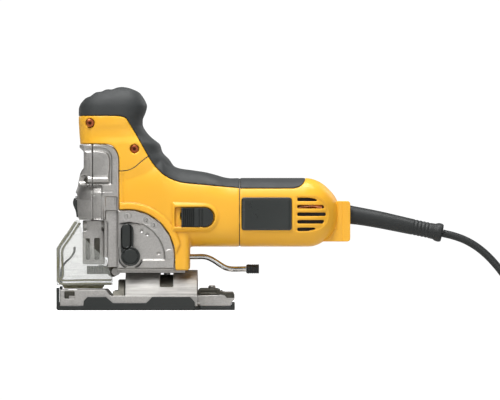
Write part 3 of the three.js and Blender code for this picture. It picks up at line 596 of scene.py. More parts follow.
# ---------------- lead, coil and tail
CORD_RADIUS = 3.5
COIL_AT = np.array([396.0, 0.0])
CORD_ROUTE = [
    (266.3, 0, 69.35), (276, 0, 67), (286.5, -0.3, 63.2), (297, -1.3, 57.2), (306.5, -3, 49.4),
    (315, -5.4, 40.2), (322.8, -8.6, 30.2), (330.6, -12.7, 20.4), (337.6, -17, 12.8),
    (343.3, -21, 8.7), (350, -26, 5.9), (357.5, -31.7, 4.9),
]
TAIL_ROUTE = [
    (428.2, -27.2, 27.2), (433.2, -19.4, 29.8), (436.6, -10.6, 32.4), (437.9, -3, 33.9),
    (438, 2.4, 34.2),
]
# turns of the coil: how many turns in, and the radius or height reached there
COIL_RADII = [
    (0, 49), (0.5, 49), (0.75, 42), (1.5, 42), (1.75, 35), (3, 35), (3.25, 42), (4, 42),
    (4.25, 49), (5.5, 49), (5.75, 42), (6.5, 42), (6.75, 35), (7, 35), (7.244, 42.15),
]
COIL_HEIGHTS = [
    (0, 4.7), (2.25, 4.7), (2.5, 11.75), (4.75, 11.75), (5, 18.8), (6.72, 18.8), (7, 25.9),
    (7.244, 27.2),
]
COIL_START = math.radians(-128)
POINTS_PER_TURN = 40


def eased(steps, at):
    """The value at a place in a list of (place, value), easing in and out of each step."""
    for (a, low), (b, high) in zip(steps, steps[1:]):
        if at <= b:
            t = (at - a) / (b - a)
            return low + (high - low) * t * t * (3 - 2 * t)
    return steps[-1][1]


def coil_points():
    """The coil's line from the floor up, with POINTS_PER_TURN points in each turn."""
    made = []
    last = COIL_RADII[-1][0]
    for u in np.linspace(0, last, round(last * POINTS_PER_TURN) + 1):
        a = COIL_START + 2 * math.pi * u
        r = eased(COIL_RADII, u)
        made.append((
            COIL_AT[0] + r * math.cos(a), COIL_AT[1] + r * math.sin(a), eased(COIL_HEIGHTS, u)
        ))
    return made


turns = coil_points()
centreline = curve([*CORD_ROUTE, *turns[:4]], 6)[:-18] + turns[1:-1] + curve(TAIL_ROUTE, 6)


def swept(name, points, radius, body, finish, *nodes):
    """A round wire or bead along a line, declared like a piece."""
    data = bpy.data.curves.new(name, "CURVE")
    data.dimensions = "3D"
    data.bevel_depth = radius * MM
    data.bevel_resolution = 6
    data.use_fill_caps = True
    line = data.splines.new("POLY")
    line.points.add(len(points) - 1)
    for target, place in zip(line.points, points):
        target.co = (*(c * MM for c in place), 1)
    line.use_smooth = True
    made = bpy.data.objects.new(name, data)
    scene.collection.objects.link(made)
    return declare(made, body, finish, *nodes)


lead = swept("lead", centreline, CORD_RADIUS, "housing", CORD, "cord", "cord_coil", "cord_tail")


# ---------------- main housing and its rubber grip
GAP = 0.35
SEAM = 81.6  # where the main housing ends and the rear cover starts
SEAM_SECTION = (57.2, 119.7, 32)  # bottom, top and half-width there
# height, front, back and half-width
HEAD = [
    (104, -62, 34, 26), (136, -63.2, 18, 28.5), (143, -63.3, 11.5, 28.5), (150.4, -63.4, 9, 28.3),
    (154, -63.6, 4.5, 27.5), (158, -64, -0.2, 26.7), (163, -64.3, -4.2, 26.9), (168, -64.6, -6.6, 27.8),
    (172, -64.8, -6.6, 28), (179, -64.8, -4, 27.5), (185, -64.7, -2.6, 26.8), (190, -62.6, -4.4, 25.4),
    (195, -58, -7.6, 22.6), (199.4, -50, -11.2, 17.5), (202.6, -40, -16, 11), (204.6, -31, -21, 4),
]
# x, bottom, top and half-width
BARREL = [
    (-28, 57.2, 144, 27.5), (6, 57.2, 143.4, 30), (9.5, 57.2, 142.6, 30.3), (11.8, 57.2, 140.9, 30.5),
    (15.5, 57.2, 135.2, 30.8), (20, 57.2, 131.4, 31), (27, 57.2, 128.4, 31.3), (38, 57.2, 126.8, 31.6),
    (50.5, 57.2, 124.9, 32), (60, 57.2, 122.5, 32), (68, 57.2, 120.2, 32), (74, 57.2, 119.4, 32),
    (SEAM, *SEAM_SECTION),
]
# finger ridges along the top of the head, in the side view
CREST = [
    (-64.7, 183.2), (-62.4, 187.6), (-58.6, 191.7), (-56.2, 193.0), (-53.6, 193.6), (-50.9, 196.0),
    (-48.4, 197.5), (-45.6, 197.7), (-43.4, 197.9), (-40.8, 199.5), (-38.2, 200.2), (-35.6, 199.9),
    (-33.4, 200.0), (-30.8, 201.4), (-27.6, 202.2), (-24.2, 202.3), (-19.3, 201.5), (-14.8, 199.9),
    (-11, 198.2), (0, 190),
]
SECTOR = (-20.0, 47.8)  # middle of the round orbital sector
SECTOR_RADIUS = 43.6
SECTOR_FOOT = SECTOR[0] + 43.4
TILT_CLEARANCE = 44.3  # radius kept free for the shoe to tilt in
GRIP_EDGE = [
    (-22, 173.8), (-18.1, 168.4), (-9.1, 153.2), (-1.5, 139.6), (5.2, 129.5), (14.9, 120.8),
    (26.8, 115.8), (50.5, 113), (82.6, 110.1),
]
GRIP_START = [(-70, 175.6), (-34, 175.6), (-27.5, 175.3)]
GRIP_DEPTH = 2.4  # thickness of the rubber
SKIN = 2.2  # thickness of the smooth yellow skin
CORE = 1.2  # the CAD shell backs the skin from this depth inwards


def housing_form(inset=0.0):
    """The full outer form, inset all round and a little more at the crest."""
    low = 1.3 * inset
    crest = shifted(CREST, low / 4, -low)
    under = through([(-64.8, 0), (-64.8, 182), *crest, (90, 190), (90, 0)], 50)
    head = loft("z", [(z - inset, *rest) for z, *rest in HEAD], inset)
    barrel = loft("x", BARREL, inset)
    foot = box_outline(-40, 36.4 - inset, inset - 29.5, 29.5 - inset, 6)
    skirt = prism("z", foot, 20 if inset else 36, 78)
    return keep(add(head, barrel, skirt), under)


grip_line = curve([*GRIP_START, *GRIP_EDGE], 8)
front_corner = curve([(-28.2, 141), (-30.3, 145.1), (-33.8, 148.6), (-39.4, 150.4), (-70, 150.4)], 6)
sector_arc = arc(*SECTOR, SECTOR_RADIUS, -5.2, 99.5, 40)
yellow_side = [
    *grip_line, (SEAM, 20), (SECTOR_FOOT, 20), (SECTOR_FOOT, 43.6), *sector_arc,
    (-27.2, 135.7), *front_corner,
]
yellow_side[len(grip_line) - 1] = (SEAM, 110.2)
grip_side = [*shifted(grip_line, 0.25, GAP)[:-1], (SEAM, 110.5), (SEAM, 215), (-70, 215)]

outer = remesh(housing_form(), 0.9, 3)


def pressed(outline, depth):
    """The part of the outer skin inside a side outline, to a depth: what a recess takes away."""
    return cut(through(outline), housing_form(depth))


SPLIT_LINE = curve([(-28, 125.9), (-20.6, 126.3), (-13.7, 129.1), (-6.6, 135), (-1.2, 139.2)], 6)
SCREWS = {"front": (-53.7, 169.3), "rear": (-13.5, 146)}
skin = keep(copy_of(outer), through(yellow_side, 50))
cut(skin, housing_form(SKIN))
cut(
    skin,
    bar("x", TILT_CLEARANCE, -60, 60, (0, 0), 96),
    block(-60, 60, -60, 60, 0, 36),
    block(30.4, 37.4, -22, 22, 43.5, 53.5),
    pressed(stroke(SPLIT_LINE, 1.1), 0.7),
    pressed(box_outline(-26.2, -22.4, 93.5, 123.8, 1.5), 0.45),
)
for side, _ in SIDES:
    rim = arc(*SECTOR, SECTOR_RADIUS, 4, 99.2, 40)
    crest = arc(*SECTOR, SECTOR_RADIUS + 5.4, 98, 14, 40)
    add(skin, side_prism(side, [*rim, *crest], 26.6, 31.2))


def bezel_outline(grow=0.0):
    """The switch's surround: square in front and round behind."""
    front, middle, rear, radius = 21.4 - grow, 84.6, 50.4, 12.3 + grow
    return [
        (front, middle - radius), *arc(rear, middle, radius, -90, 90, 24), (front, middle + radius),
    ]


def screw_recess(at):
    """A countersunk well with a rounded lip, on the left side."""
    return turned("y", [(-60, 5.1), (-28.9, 5.0), (-27.6, 4.2), (-20, 4.2)], at, 40)


def switch_rim():
    """A raised rim with a broad sloping face round the switch."""
    profile = ((28.4, 1.4), (30.6, 0.9), (31.8, 0.1), (32.8, -1.1), (33.3, -2.4), (33.2, -3.4))
    return rings([[PLACE["y"](p, -out) for p in bezel_outline(grow)] for out, grow in profile])


def half_space(side, start):
    """Everything on one side of the middle plane, from a little off it."""
    return block(-90, 90, *sorted((side * start, side * ACROSS)), 0, 220)


opening = [(22.9, 75), *arc(50.2, 84.05, 9.05, -90, 90, 24), (22.9, 93.1)]
add(skin, switch_rim())
cut(skin, *[screw_recess(at) for at in SCREWS.values()])
for side, word in SIDES:
    half = keep(copy_of(skin), half_space(side, GAP / 2))
    core = keep(copy_of(f"housing_{word}"), housing_form(CORE))
    add(half, core)
    nodes = [f"housing_{word}"]
    if side < 0:
        add(half, side_prism(side, bezel_outline(), 28.2, 29.25))
        slide_slot = side_prism(side, box_outline(28, 57, 81.6, 88.4, 1), 20)
        cut(half, side_prism(side, opening, 29.4), slide_slot)
        nodes.append("switch_bezel")
    remesh(half, 0.75)
    piece(f"housing_{word}_shell", half, "housing", YELLOW, *nodes)

grip = keep(copy_of(outer), through(grip_side, 50))
GRIP_JOINT = curve([(-1.8, 138.5), (2.6, 141), (6.6, 144.2), (11, 148)], 6)
cut(grip, housing_form(GRIP_DEPTH))
for side, word in SIDES:
    half = keep(copy_of(grip), half_space(side, 0.03))
    remesh(half, 0.75)
    piece(f"grip_{word}_cover", half, "housing", RUBBER, f"grip_{word}")
# black strips in the split-line grooves: painted shade, standing in for the shadow in the seams
for line, name in ((SPLIT_LINE, "housing_seam_shade"), (GRIP_JOINT, "grip_seam_shade")):
    seam_shade_strip = keep(through(stroke(line, 0.7)), housing_form())
    cut(seam_shade_strip, housing_form(1.4))
    piece(name, seam_shade_strip, "housing", BLACK, angle=40)
for word, at in SCREWS.items():
    screw = turned("y", [(-26.9, 2.6), (-26.4, 3.5), (-24.6, 3.6), (-24.2, 2), (20, 2)], at, 40)
    cut(screw, prism("y", hexagon(*at), -OUTSIDE, -25.2))
    piece(f"case_screw_{word}", screw, "housing", SCREW, f"housing_screw_{word}", angle=35)
# a black ring sunk in the seam to the rear cover: painted shade, standing in for the shadow in that seam
rear_seam_shade_ring = loft("x", [(80.4, *SEAM_SECTION), (83.2, *SEAM_SECTION)], 0.6, rows=2)
cut(rear_seam_shade_ring, loft("x", [(80, *SEAM_SECTION), (84, *SEAM_SECTION)], 3.4, rows=2))
piece("rear_seam_shade", rear_seam_shade_ring, "housing", BLACK, angle=40)
for used_up in (grip, skin, outer):
    drop(used_up)


# ---------------- rear cover, badges and cord clamp
REAR = [
    (81.7, *SEAM_SECTION), (141, *SEAM_SECTION), (147, 57.4, 118.9, 31.4), (152.5, 59, 117, 30),
    (158, 62, 113.6, 27.2), (163, 65.4, 109, 23.2), (167.4, 70.6, 104, 18.2), (170.4, 77, 98.6, 12.2),
    (171.9, 82.5, 93, 6.5), (172.3, 86, 90.8, 2.6),
]


def rear_form(inset=0.0):
    """The rear cover's outer form, inset all round."""
    return loft("x", [(x - inset, *rest) for x, *rest in REAR], inset)


VENTS = [100.1, 93.5, 86.7, 79.9, 73.1]  # heights
VENT_HALF = 1.6
VENT_FRONT = 133.7
rear_grip_side = [
    (SEAM + GAP, 110.15), (129, 110.15),
    *curve([(130.5, 110.2), (135.5, 111.6), (139.2, 114.8), (141.1, 118.5), (141.4, 125)], 6),
    (SEAM + GAP, 125),
]
panel = [(131.3, 71.3), (147, 71.3), *arc(146, 87.2, 16, -82, 82, 24), (131.3, 103.1)]
vent_reach = [(120, 50), (146, 50), *arc(145, 86.8, 14.6, -90, 90, 32), (120, 120)]
rear = remesh(rear_form(), 0.9, 3)
rear_skin = cut(
    keep(copy_of(rear), block(80, 200, -50, 50, 20, 150)),
    through(shifted(rear_grip_side, 0, -GAP)), rear_form(SKIN))
add(rear_skin, keep(copy_of("rear_cover"), rear_form(CORE)))
recess = cut(through(rounded(panel, 0.8)), rear_form(0.5))
badge_wells = [
    side_prism(side, box_outline(82.9, 129.3, 71.8, 102.3, 2.8), 30.8, ACROSS) for side, _ in SIDES
]
slots = []
for z in VENTS:
    slot = through(box_outline(VENT_FRONT, 162, z - VENT_HALF, z + VENT_HALF, 0.5))
    keep(slot, through(vent_reach))
    slots.append(cut(slot, block(120, 170, -12, 12, 60, 110)))
cut(rear_skin, recess, *badge_wells, *slots)
remesh(rear_skin, 0.7)
piece("rear_cover_shell", rear_skin, "housing", YELLOW, "rear_cover")
rubber = keep(rear, through(rear_grip_side))
cut(rubber, rear_form(GRIP_DEPTH))
piece("rear_grip_cover", remesh(rubber, 0.7), "housing", RUBBER, "rear_grip")


def plate(side):
    """A badge plate: crowned, with a raised border and a blank field."""
    rows = []
    for grow, out in ((0, 31.15), (0, 32.1), (-0.35, 32.5), (-0.9, 32.65), (-1.6, 32.6), (-1.9, 32.3)):
        ring_line = box_outline(83.3 - grow, 128.9 + grow, 72.2 - grow, 101.9 + grow, 2.7 + grow)
        rows.append([PLACE["y"](p, side * out) for p in ring_line])
    return rings(rows)


for side, word in SIDES:
    piece(f"badge_{word}_plate", remesh(plate(side), 0.5, 1), "housing", BADGE, f"badge_{word}")

clamp_root = keep(
    block(150, 178, -12.6, 12.6, 62.6, 98.3), cut(block(140, 190, -20, 20, 50, 110), rear_form(3)))
clamp_collar = bar("x", 9.6, 170, 181.8, (0, 86.4), 48)
clamp_line = stroke([(174.6, 60), (174.6, 100)], 0.9)
clamp = softened(
    "cord_clamp", 0.5, 5, adds=[clamp_root, clamp_collar],
    cuts=[side_prism(side, clamp_line, 12.4, 20) for side, _ in SIDES])
piece("cord_clamp_body", clamp, "housing", YELLOW, "cord_clamp")

# the baffles aren't known parts: they keep the backdrop from showing through the vents, and their black is
# painted shade for the dark inside the vents
BRUSH_LEAD = [(135, 92.6), (141, 93.8), (149, 94), (156, 92.4)]
for side, word in SIDES:
    baffle = add(
        side_prism(side, box_outline(131, 157, 68, 105, 8), 19.2, 20.8),
        side_prism(side, box_outline(150, 162, 78, 96, 4), 19.4, 20.6))
    piece(f"air_baffle_{word}", remesh(baffle, 0.6, 1), "housing", BLACK)
    wire = [(x, side * 24.4, z) for x, z in curve(BRUSH_LEAD, 8)]
    swept(f"brush_lead_{word}", wire, 1.9, "housing", COPPER)


# ---------------- gear case and front cover
def ring_groove(side, at, radius, width, near):
    """A round groove in a side face, as a solid to cut away."""
    made = side_prism(side, circle(*at, radius + width / 2), near)
    return cut(made, side_prism(side, circle(*at, radius - width / 2, 32), near - 1, OUTSIDE + 1))


CASE_HALF = 26.0  # from the middle plane to the case's sides
FACE = 29.5  # and to the face of its sector
# places and numbers on the orbital dial
DIAL = [((-20, 85.1), 1), ((-2.3, 81.2), 2), ((4.1, 76.9), 3)]
DIAL_RADIUS = 3.2
DETENTS = [(-7.3, 71.9), (-2.1, 68.7), (8.2, 51.6)]
window_groove = [
    *curve([(-75, 147), (-42.1, 146.9), (-36.4, 144), (-33.8, 139.2)], 8), (-33.8, 115.6),
    (-36.7, 115.6), *curve([(-36.7, 122.4), (-36.6, 137.9), (-38.6, 141.8), (-42.9, 143.2), (-75, 143.2)], 8),
]
DRUM_AT = (-42.8, 0)
# height and radius of the drum
DRUM_SIDE = [(81.6, 23.2), (83.4, 24.6), (92, 25.3), (100, 25.7), (106, 25), (112, 23), (113.4, 22.6)]


def gear_drum(x0, x1):
    """A length of the round drum that the front of the case forms."""
    return keep(turned("z", DRUM_SIDE, DRUM_AT, 120), block(x0, x1, -30, 30, 80, 115))


def drum_wall(x0, x1, inner):
    """A length of the drum with a round hole of some radius."""
    return cut(gear_drum(x0, x1), bar("z", inner, 70, 120, DRUM_AT, 96))


def beside_drum(x0, x1):
    """What lies outside the drum, to cut away from the flat sides of a CAD node."""
    return cut(block(x0, x1, -31, 31, 81.8, 113), gear_drum(x0, x1))


def side_groove(side, x0, x1, z, width, near):
    """A straight level groove in a side face."""
    return side_prism(side, stroke([(x0, z), (x1, z)], width), near)


BOSS_Z = 117.7  # height of the two bosses with the cover bolts
TOP_GROOVE = (114.7, 2.2)  # height and width
case_cuts, case_adds = [], []
for side, _ in SIDES:
    case_cuts += [
        side_prism(side, window_groove, CASE_HALF - 1.6),
        side_groove(side, -75, -34.2, *TOP_GROOVE, CASE_HALF - 1.8),
        side_prism(side, stroke([(-33, 107.4), (-47.6, 107.4)], 0.9), 24.2),
        side_prism(side, stroke([(-47.2, 107.6), (-49.6, 104.4)], 0.9), 24),
        side_prism(side, stroke([(-49.8, 105), (-49.8, 96.4)], 0.9), 23.6),
        side_prism(side, stroke([(-32, 112), (-32, 94)], 1.2), 21, 25),
        side_prism(side, stroke(arc(*SECTOR, 32.6, 3, 74, 30), 0.9), 26.9),
        *[side_prism(side, circle(*at, 1.5, 24), 26.4) for at in DETENTS],
        *[ring_groove(side, at, DIAL_RADIUS, 1.0, FACE - 0.9) for at, _ in DIAL],
    ]
    case_adds += [
        bar("x", 3.8, -51.2, -33.9, (side * 23.4, BOSS_Z)),
        side_prism(side, stroke([(-51, 121), (-38, 121)], 0.8), CASE_HALF - 2.5, CASE_HALF + 0.3),
        side_prism(side, circle(18.2, 50.5, 4.1), 27, FACE + 0.6),
        side_prism(side, circle(-31, 34.6, 3.7), 11, 14.4),
        side_prism(side, box_outline(-51, -29.6, 90.2, 113.2, 0.8), 19.6, 24.6),
        side_prism(side, box_outline(-41.2, -36.4, 47.6, 91, 0.8), 12.2, 19),
    ]
case_adds.append(drum_wall(-51.3, -40, 23))
case_cuts.append(beside_drum(-52, DRUM_AT[0]))
case = softened("gear_case", 0.6, adds=case_adds, cuts=case_cuts)
piece("gear_case_cast", case, "housing", CAST, "gear_case")

cover_cuts, cover_adds = [], []
for side, _ in SIDES:
    cover_cuts += [
        side_groove(side, -75, -48, 145.1, 3.8, 24.6),
        side_groove(side, -75, -48, *TOP_GROOVE, 24.4),
        turned("x", [(-70, 4.8), (-57.4, 4.6), (-55.6, 1.6)], (side * 24.6, BOSS_Z), 40),
    ]
    cover_adds += [
        side_prism(side, box_outline(-62, -51.6, 91, 106, 0.8), 15, 18.4),
        bar("x", 3.8, -56.4, -51.6, (side * 23.4, BOSS_Z)),
    ]
cover_cuts += [bar("x", 1.9, -80, -62, at, 20) for at in ((0, 136), (-12, 123), (12, 123))]
cover_adds.append(cut(drum_wall(-69, -51.6, 22.6), block(-75, -60, -9.8, 9.8, 80, 106)))
cover_cuts.append(beside_drum(-75, -51))
front = softened("front_cover", 0.6, adds=cover_adds, cuts=cover_cuts)
piece("front_cover_cast", front, "housing", CAST, "front_cover")
# bolt heads at the bosses' ends, whose dark finish is partly painted shade for the bolt holes
for side, word in SIDES:
    bolt = turned("x", [(-59.2, 0.8), (-57, 2.9), (-55.2, 3.2)], (side * 23.6, BOSS_Z), 32)
    piece(f"cover_bolt_{word}", bolt, "housing", BLUED, angle=35)

# strokes of each number, from its middle; their dark finish is painted shade for the shading that shows
# embossed numbers
NUMERALS = {
    1: [(-0.5, 1.0), (0.1, 1.5), (0.1, -1.5)],
    2: [
        (-0.9, 0.8), (-0.6, 1.35), (0, 1.5), (0.7, 1.3), (0.9, 0.8), (0.6, 0.1), (-0.9, -1.5),
        (1, -1.5),
    ],
    3: [
        (-0.8, 1.4), (0.2, 1.5), (0.8, 1.0), (0.6, 0.3), (0, 0.05), (0.7, -0.2), (0.9, -0.9),
        (0.3, -1.5), (-0.8, -1.4),
    ],
}
for (cx, cz), number in DIAL:
    line = shifted(NUMERALS[number], cx, cz)
    marks = [
        side_prism(-1, stroke(ends, 0.45), FACE - 0.2, FACE + 0.15) for ends in zip(line, line[1:])
    ]
    numeral = add(marks[0], *marks[1:])
    # the dark finish on the raised numbers is painted shade
    piece(f"dial_numeral_{number}", numeral, "housing", BLUED, angle=40)

for side, word in SIDES:
    # not a known part: a dark sheet behind the slots of the guide block, painted shade for the dark inside
    # them
    liner = side_prism(side, box_outline(-60, -42.6, 43.5, 69, 2), 6.5, 7.3)
    piece(f"guide_slot_shade_{word}", remesh(liner, 0.3, 1), "housing", BLUED)
neck = [
    cut(bar("x", 4.4, -61, -41.2, (side * 4.3, 76.7)), block(-58.6, -42.4, -6.9, 6.9, 70, 84))
    for side, _ in SIDES
]
guide_block = softened("guide_block", 0.45, adds=neck)
piece("guide_block_cast", guide_block, "housing", CAST, "guide_block")


# ---------------- levers on the case
def oval(radius):
    """The outline of the thumb pad on the orbital lever."""
    return [*arc(-20.9, 73.8, radius, 0, 180, 20), *arc(-20.9, 59.6, radius, 180, 360, 20)]


pad = side_prism(-1, oval(3.6), 30, 34.4)
pad_groove = cut(side_prism(-1, oval(4.7), 31.6), side_prism(-1, oval(3.6), 31, OUTSIDE + 1))
hub_groove = ring_groove(-1, (-17, 48.7), 6.9, 0.9, 34)
orbital = softened("orbital_lever", 0.4, adds=[pad], cuts=[pad_groove, hub_groove])
piece("orbital_lever_knob", orbital, "orbital_lever", BLACK, "orbital_lever")
thumb_grooves = [bar("y", 0.7, -20, 20, (-70.6, z), 16) for z in (88, 90.6, 93.2)]
release = softened("blade_release_lever", 0.4, 3, cuts=thumb_grooves)
piece("blade_release_tab", release, "release_lever", BLACK, "blade_release_lever")


# ---------------- slide switch
slider_outline = [(29, 75.4), *arc(49.4, 84, 8.6, -90, 90, 24), (29, 92.6)]
grooves = [
    block(x - 0.45, x + 0.45, -OUTSIDE, -33.1, 74, 95) for x in np.arange(31.2, 40.5, 1.75)
]
valley = bar("z", 2.2, 70, 100, (46.5, -35.2), 32)
thumb = side_prism(-1, slider_outline, 29.4, 34)
slider = softened("switch_slider", 0.35, 1, adds=[thumb], cuts=[*grooves, valley])
piece("switch_slider_thumb", slider, "switch_slider", BLACK, "switch_slider")


# ---------------- shoe
def on_both_sides(x0, x1, z0, z1, near, far):
    """A block with rounded corners on each side."""
    return [side_prism(side, box_outline(x0, x1, z0, z1, 0.6), near, far) for side, _ in SIDES]


casting = softened(
    "shoe_casting", 0.5, adds=on_both_sides(-72.5, -66, 8, 13.2, 34.2, 36),
    cuts=on_both_sides(-79, -42, 5.6, 17.2, 36, 37.9))
piece("shoe_casting_body", casting, "shoe", CAST, "shoe_casting")
for side, word in SIDES:
    # not a known part: a dark sheet in the slot in the casting, painted shade for the dark inside it
    slot_shade = side_prism(side, box_outline(-79, -55, 6, 17.2, 0.8), 34.9, 35.7)
    piece(f"fence_slot_shade_{word}", remesh(slot_shade, 0.5, 1), "shoe", BLUED)
toe_round = bar("y", 2.6, -60, 60, (-84.6, -1.2), 32)
cover = softened("shoe_cover", 0.5, 3, cuts=[toe_round])
piece("shoe_cover_skin", cover, "shoe", BLACK, "shoe_cover")
piece("bevel_quadrant_rail", softened("bevel_quadrant", 0.45), "shoe", RAIL, "bevel_quadrant")


def shoe_pipe(outer, inner, x0, x1):
    """A length of pipe round the axis that the shoe tilts on."""
    return cut(bar("x", outer, x0, x1, (0, 0), 96), bar("x", inner, x0 - 1, x1 + 1, (0, 0), 96))


liner = shoe_pipe(32.9, 31.4, 7, 24.5)
keep(liner, block(0, 30, -40, 40, 15, 31.5))
piece("bevel_quadrant_liner", remesh(liner, 0.5, 1), "shoe", BLUED)
# not a known part: a front end for the quadrant, a bracket whose dark finish is also painted shadow under the
# gear case
nose = shoe_pipe(32.4, 28, -28.4, -22)
cut(
    nose, block(-40, -20, -50, 50, -50, 6.6), block(-60, 0, -60, 60, 27.2, 50),
    bar("y", 6, -60, 60, (-36, 29)))
apron_side = [(-37.2, 6.6), (-36, 9.4), (-33.3, 9.6), (-33, 17), (-27, 18.2), (-27, 6.6)]
apron = keep(shoe_pipe(32.4, 28, -37.2, -27), through(apron_side, 50))
add(nose, apron)
piece("bevel_quadrant_nose", remesh(nose, 0.5), "shoe", BLUED)
clamp_steps = on_both_sides(46, 61, 15.2, 17.4, 27.2, OUTSIDE)
clamp_plate = softened("shoe_clamp_plate", 0.4, 3, cuts=clamp_steps)
piece("shoe_clamp_bar", clamp_plate, "shoe", BLUED, "shoe_clamp_plate")
piece("splinter_insert_pad", softened("splinter_insert", 0.3), "shoe", BLACK, "splinter_insert")

SCREW_SIDE = [(9, 1.5), (19.7, 1.6), (19.7, 3.0), (20.0, 3.2), (21.4, 3.2), (21.75, 2.9)]
for side, word in SIDES:
    at = (56.4, side * 14)
    screw = cut(turned("z", SCREW_SIDE, at), prism("z", hexagon(*at), 20.4, 30))
    piece(f"clamp_screw_{word}", screw, "shoe", STEEL, f"shoe_screw_{word}", angle=35)


# ---------------- bevel lock lever
TIP = [(87.5, 3.2), (88, 3.9), (89.4, 4.2)]
for x in np.arange(90, 98.2, 1.6):
    TIP += [(x, 4.3), (x + 0.45, 4.3), (x + 0.65, 3.85), (x + 1.15, 3.85)]
TIP += [(98.6, 4.2), (99.05, 3.6), (99.2, 2.8)]
tip = turned("x", TIP, (0, 36.9))
piece("bevel_lever_grip", tip, "bevel_lever", RUBBER, "bevel_lever_tip", angle=60)
ROD = [
    (21, 0, 48), (40, 0, 48), (49.1, 0, 48), (53.4, 0, 46.9), (58, 0, 44.6), (64, 0, 40.7),
    (68.8, 0, 38), (73.7, 0, 36.9), (87.4, 0, 36.9),
]
ROD_RADIUS = 2.4
EYE_AT = (15.5, 0)
rod_line = curve(ROD, 10)
eye = turned("z", [(45.3, 7.2), (45.8, 7.5), (51, 7.5), (51.5, 7.1)], EYE_AT, 64)
rod = add(tube(rod_line, [ROD_RADIUS] * len(rod_line), 32), eye)
cut(rod, bar("z", 3.35, 40, 60, EYE_AT))
piece("bevel_lever_rod", rod, "bevel_lever", CHROME, "bevel_lever", angle=40)


# ---------------- chip guard with its lip and rims
piece("chip_guard_shield", softened("chip_guard", 0.45, 3), "chip_guard", CLEAR, "chip_guard")
LIP = [(-68.6, 57), (-69, 52.5), (-72, 47.5), (-77.2, 42.5), (-80, 38), (-80.8, 31), (-80.8, 23.6)]
for side, word in SIDES:
    line = curve([(x, side * 9.2, z) for x, z in LIP], 6)
    swept(f"guard_lip_{word}", line, 0.75, "chip_guard", BLACK)

# the rim runs along the guard's foot and up its front, with a thinner bead inside it
RIM = [
    (-35.2, 23.4), (-60, 23.4), (-80, 23.4), (-82.4, 25), (-83.2, 30), (-83.2, 48), (-82.9, 55.4),
    (-75.2, 67.2), (-67.4, 79.6),
]
RIM_BEADS = ((0, 0.95), (3.4, 0.7))  # distance inwards and radius
FOOT_TOP = 28
FLARE_START = 42


def rim_point(side, x, z, inward):
    """A place on the rim, moved into the guard; the guard widens above FLARE_START."""
    y = side * (9.9 + max(z - FLARE_START, 0) * 0.2)
    if z < FOOT_TOP:
        return x, y, z + inward
    return x + inward, y, z - 0.3 * inward


for side, word in SIDES:
    for number, (inward, radius) in enumerate(RIM_BEADS):
        line = curve([rim_point(side, x, z, inward) for x, z in RIM], 6)
        swept(f"guard_rim_{word}_{number}", line, radius, "chip_guard", OLIVE)


# ---------------- roller arm and blade clamp
grooves = [
    side_prism(side, box_outline(x, x + 1.0, 34, 45, 0.2), 4.6, 8)
    for x in np.arange(-55.6, -41, 2.3) for side, _ in SIDES
]
arm = softened("roller_arm", 0.35, cuts=grooves)
piece("roller_arm_forged", arm, "roller_arm", BLUED, "roller_arm")
piece("blade_clamp_body", softened("blade_clamp", 0.35), "plunger", BLUED, "blade_clamp")


# ---------------- latch behind the shoe and feet of the guard
LATCH = [
    (62, 14.6), (64.5, 17.4), (67.8, 15.9), (75.4, 15.9), (76.9, 13.6), (76.9, 11), (70, 11),
    (68, 13.4),
]
FOOT = rounded([(-80, 22.9), (-78, 19.3), (-43, 19.3), (-41, 22.9)], 0.8)
for side, word in SIDES:
    latch = side_prism(side, LATCH, 24.2, 29.4)
    piece(f"tail_latch_{word}", remesh(latch, 0.35), "shoe", BLUED)
    foot = side_prism(side, FOOT, 6.2, 7.4)
    cut(foot, *[
        side_prism(side, box_outline(x, x + 5, 20, 21.6, 0.4), 7, 9) for x in (-76, -66, -56)
    ])
    piece(f"guard_foot_{word}", remesh(foot, 0.3, 1), "chip_guard", OLIVE)


# ---------------- boot, plug and tie of the lead
BOOT_LENGTH = 83.0
BOOT_ROUTE = [
    (180.8, 0, 86.3), (191.1, 0, 84.8), (209.3, 0, 81.5), (227.5, 0, 77.6), (245.7, 0, 73.7),
    (256.6, 0, 71.4), (265.9, 0, 69.45),
]
# place along the boot and radius there: a collar, a long taper and a flared end
BOOT_SIDE = [
    (0, 8.5), (1.6, 8.5), (2.6, 8.4), (3.4, 8.3), (30, 7.7), (70, 7.1), (75.5, 7.2), (78, 8.3),
    (79.5, 8.5), (81.5, 8.4), (BOOT_LENGTH, 7.4),
]


def boot():
    """The moulded sleeve where the lead leaves, with relief rings before its flared end."""
    line = np.array(curve(BOOT_ROUTE, 24))
    steps = np.linalg.norm(np.diff(line, axis=0), axis=1)
    share = np.concatenate([[0], np.cumsum(steps)]) / steps.sum() * BOOT_LENGTH
    radius = smooth_values(*zip(*BOOT_SIDE), share)
    for at in np.arange(58, 74, 3.2):
        radius -= 0.45 * np.exp(-((share - at) / 0.6) ** 2)
    return tube(line, radius, 48)


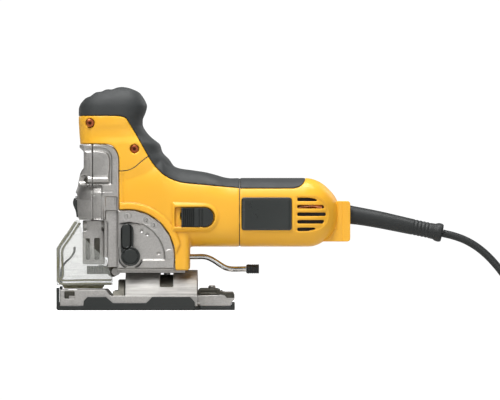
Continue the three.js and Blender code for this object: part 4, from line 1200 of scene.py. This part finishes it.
piece("lead_boot", boot(), "housing", CORD, "cord_boot", angle=60)
plug_grooves = [
    cut(block(420, 460, y, y + 1, 15, 50), block(426.2, 449.8, y - 1, y + 2, 24.2, 44.2))
    for y in np.arange(22, 40, 3.4)
]
cad_blades = block(420, 460, 45.7, 80, 20, 50)
plug = softened("plug", 0.4, 3, cuts=[*plug_grooves, cad_blades])
piece("plug_body", plug, "housing", CORD, "plug")
BLADE = [(44, 31), (62.5, 31), (64.3, 32.6), (64.3, 35.8), (62.5, 37.4), (44, 37.4)]
blades = add(*[prism("x", BLADE, x - 0.75, x + 0.75) for x in (431.65, 444.35)])
piece("plug_blades", blades, "housing", CHROME, angle=30)
piece("lead_tie", softened("cord_tie", 0.4), "housing", BLACK, "cord_tie")


# ---------------- CAD nodes that keep their shape
KEPT = (
    (BLACK, "switch_module"),
    (CAST, "bearing_plate"),
    (STEEL, "armature_shaft", "armature_core", "front_bearing", "rear_bearing", "stator",
     "drive_gear", "counterweight", "plunger", "arm_pin", "support_roller", "bevel_bolt"),
    (COPPER, "commutator", "field_winding_front", "field_winding_rear"),
    (BRONZE, "brush_holder_left", "brush_holder_right", "upper_bushing", "lower_bushing"),
    (CARBON, "brush_left", "brush_right"),
    (NYLON, "cooling_fan"),
)
for finish, *names in KEPT:
    for name in names:
        NODES[name].data.materials.clear()
        NODES[name].data.materials.append(finish.material)


# ---------------- floor
FLOOR_REACH = 1500
FLOOR_GLOW = 0.95  # seen by the camera only, so that the paper reads as white as the backdrop
corners = [(x * FLOOR_REACH, y * FLOOR_REACH, 0) for x, y in ((-1, -1), (1, -1), (1, 1), (-1, 1))]
floor = new_object("floor", corners, [(0, 1, 2, 3)])
FLOOR = Paint("floor_paper", None, Specular_IOR_Level=0.2)
FLOOR.colour(FLOOR.blend(FLOOR.noise(6, 3), (0.5, 0.5, 0.495), (0.55, 0.55, 0.545)))
FLOOR.rough(FLOOR.ramp(FLOOR.noise(300, 3), 0.7, 0.85))
FLOOR.shader.inputs["Emission Color"].default_value = (1, 1, 1, 1)
seen = FLOOR.node("ShaderNodeLightPath").outputs["Is Camera Ray"]
FLOOR.link(FLOOR.ramp(seen, 0, FLOOR_GLOW), FLOOR.shader.inputs["Emission Strength"])
floor.data.materials.append(FLOOR.material)
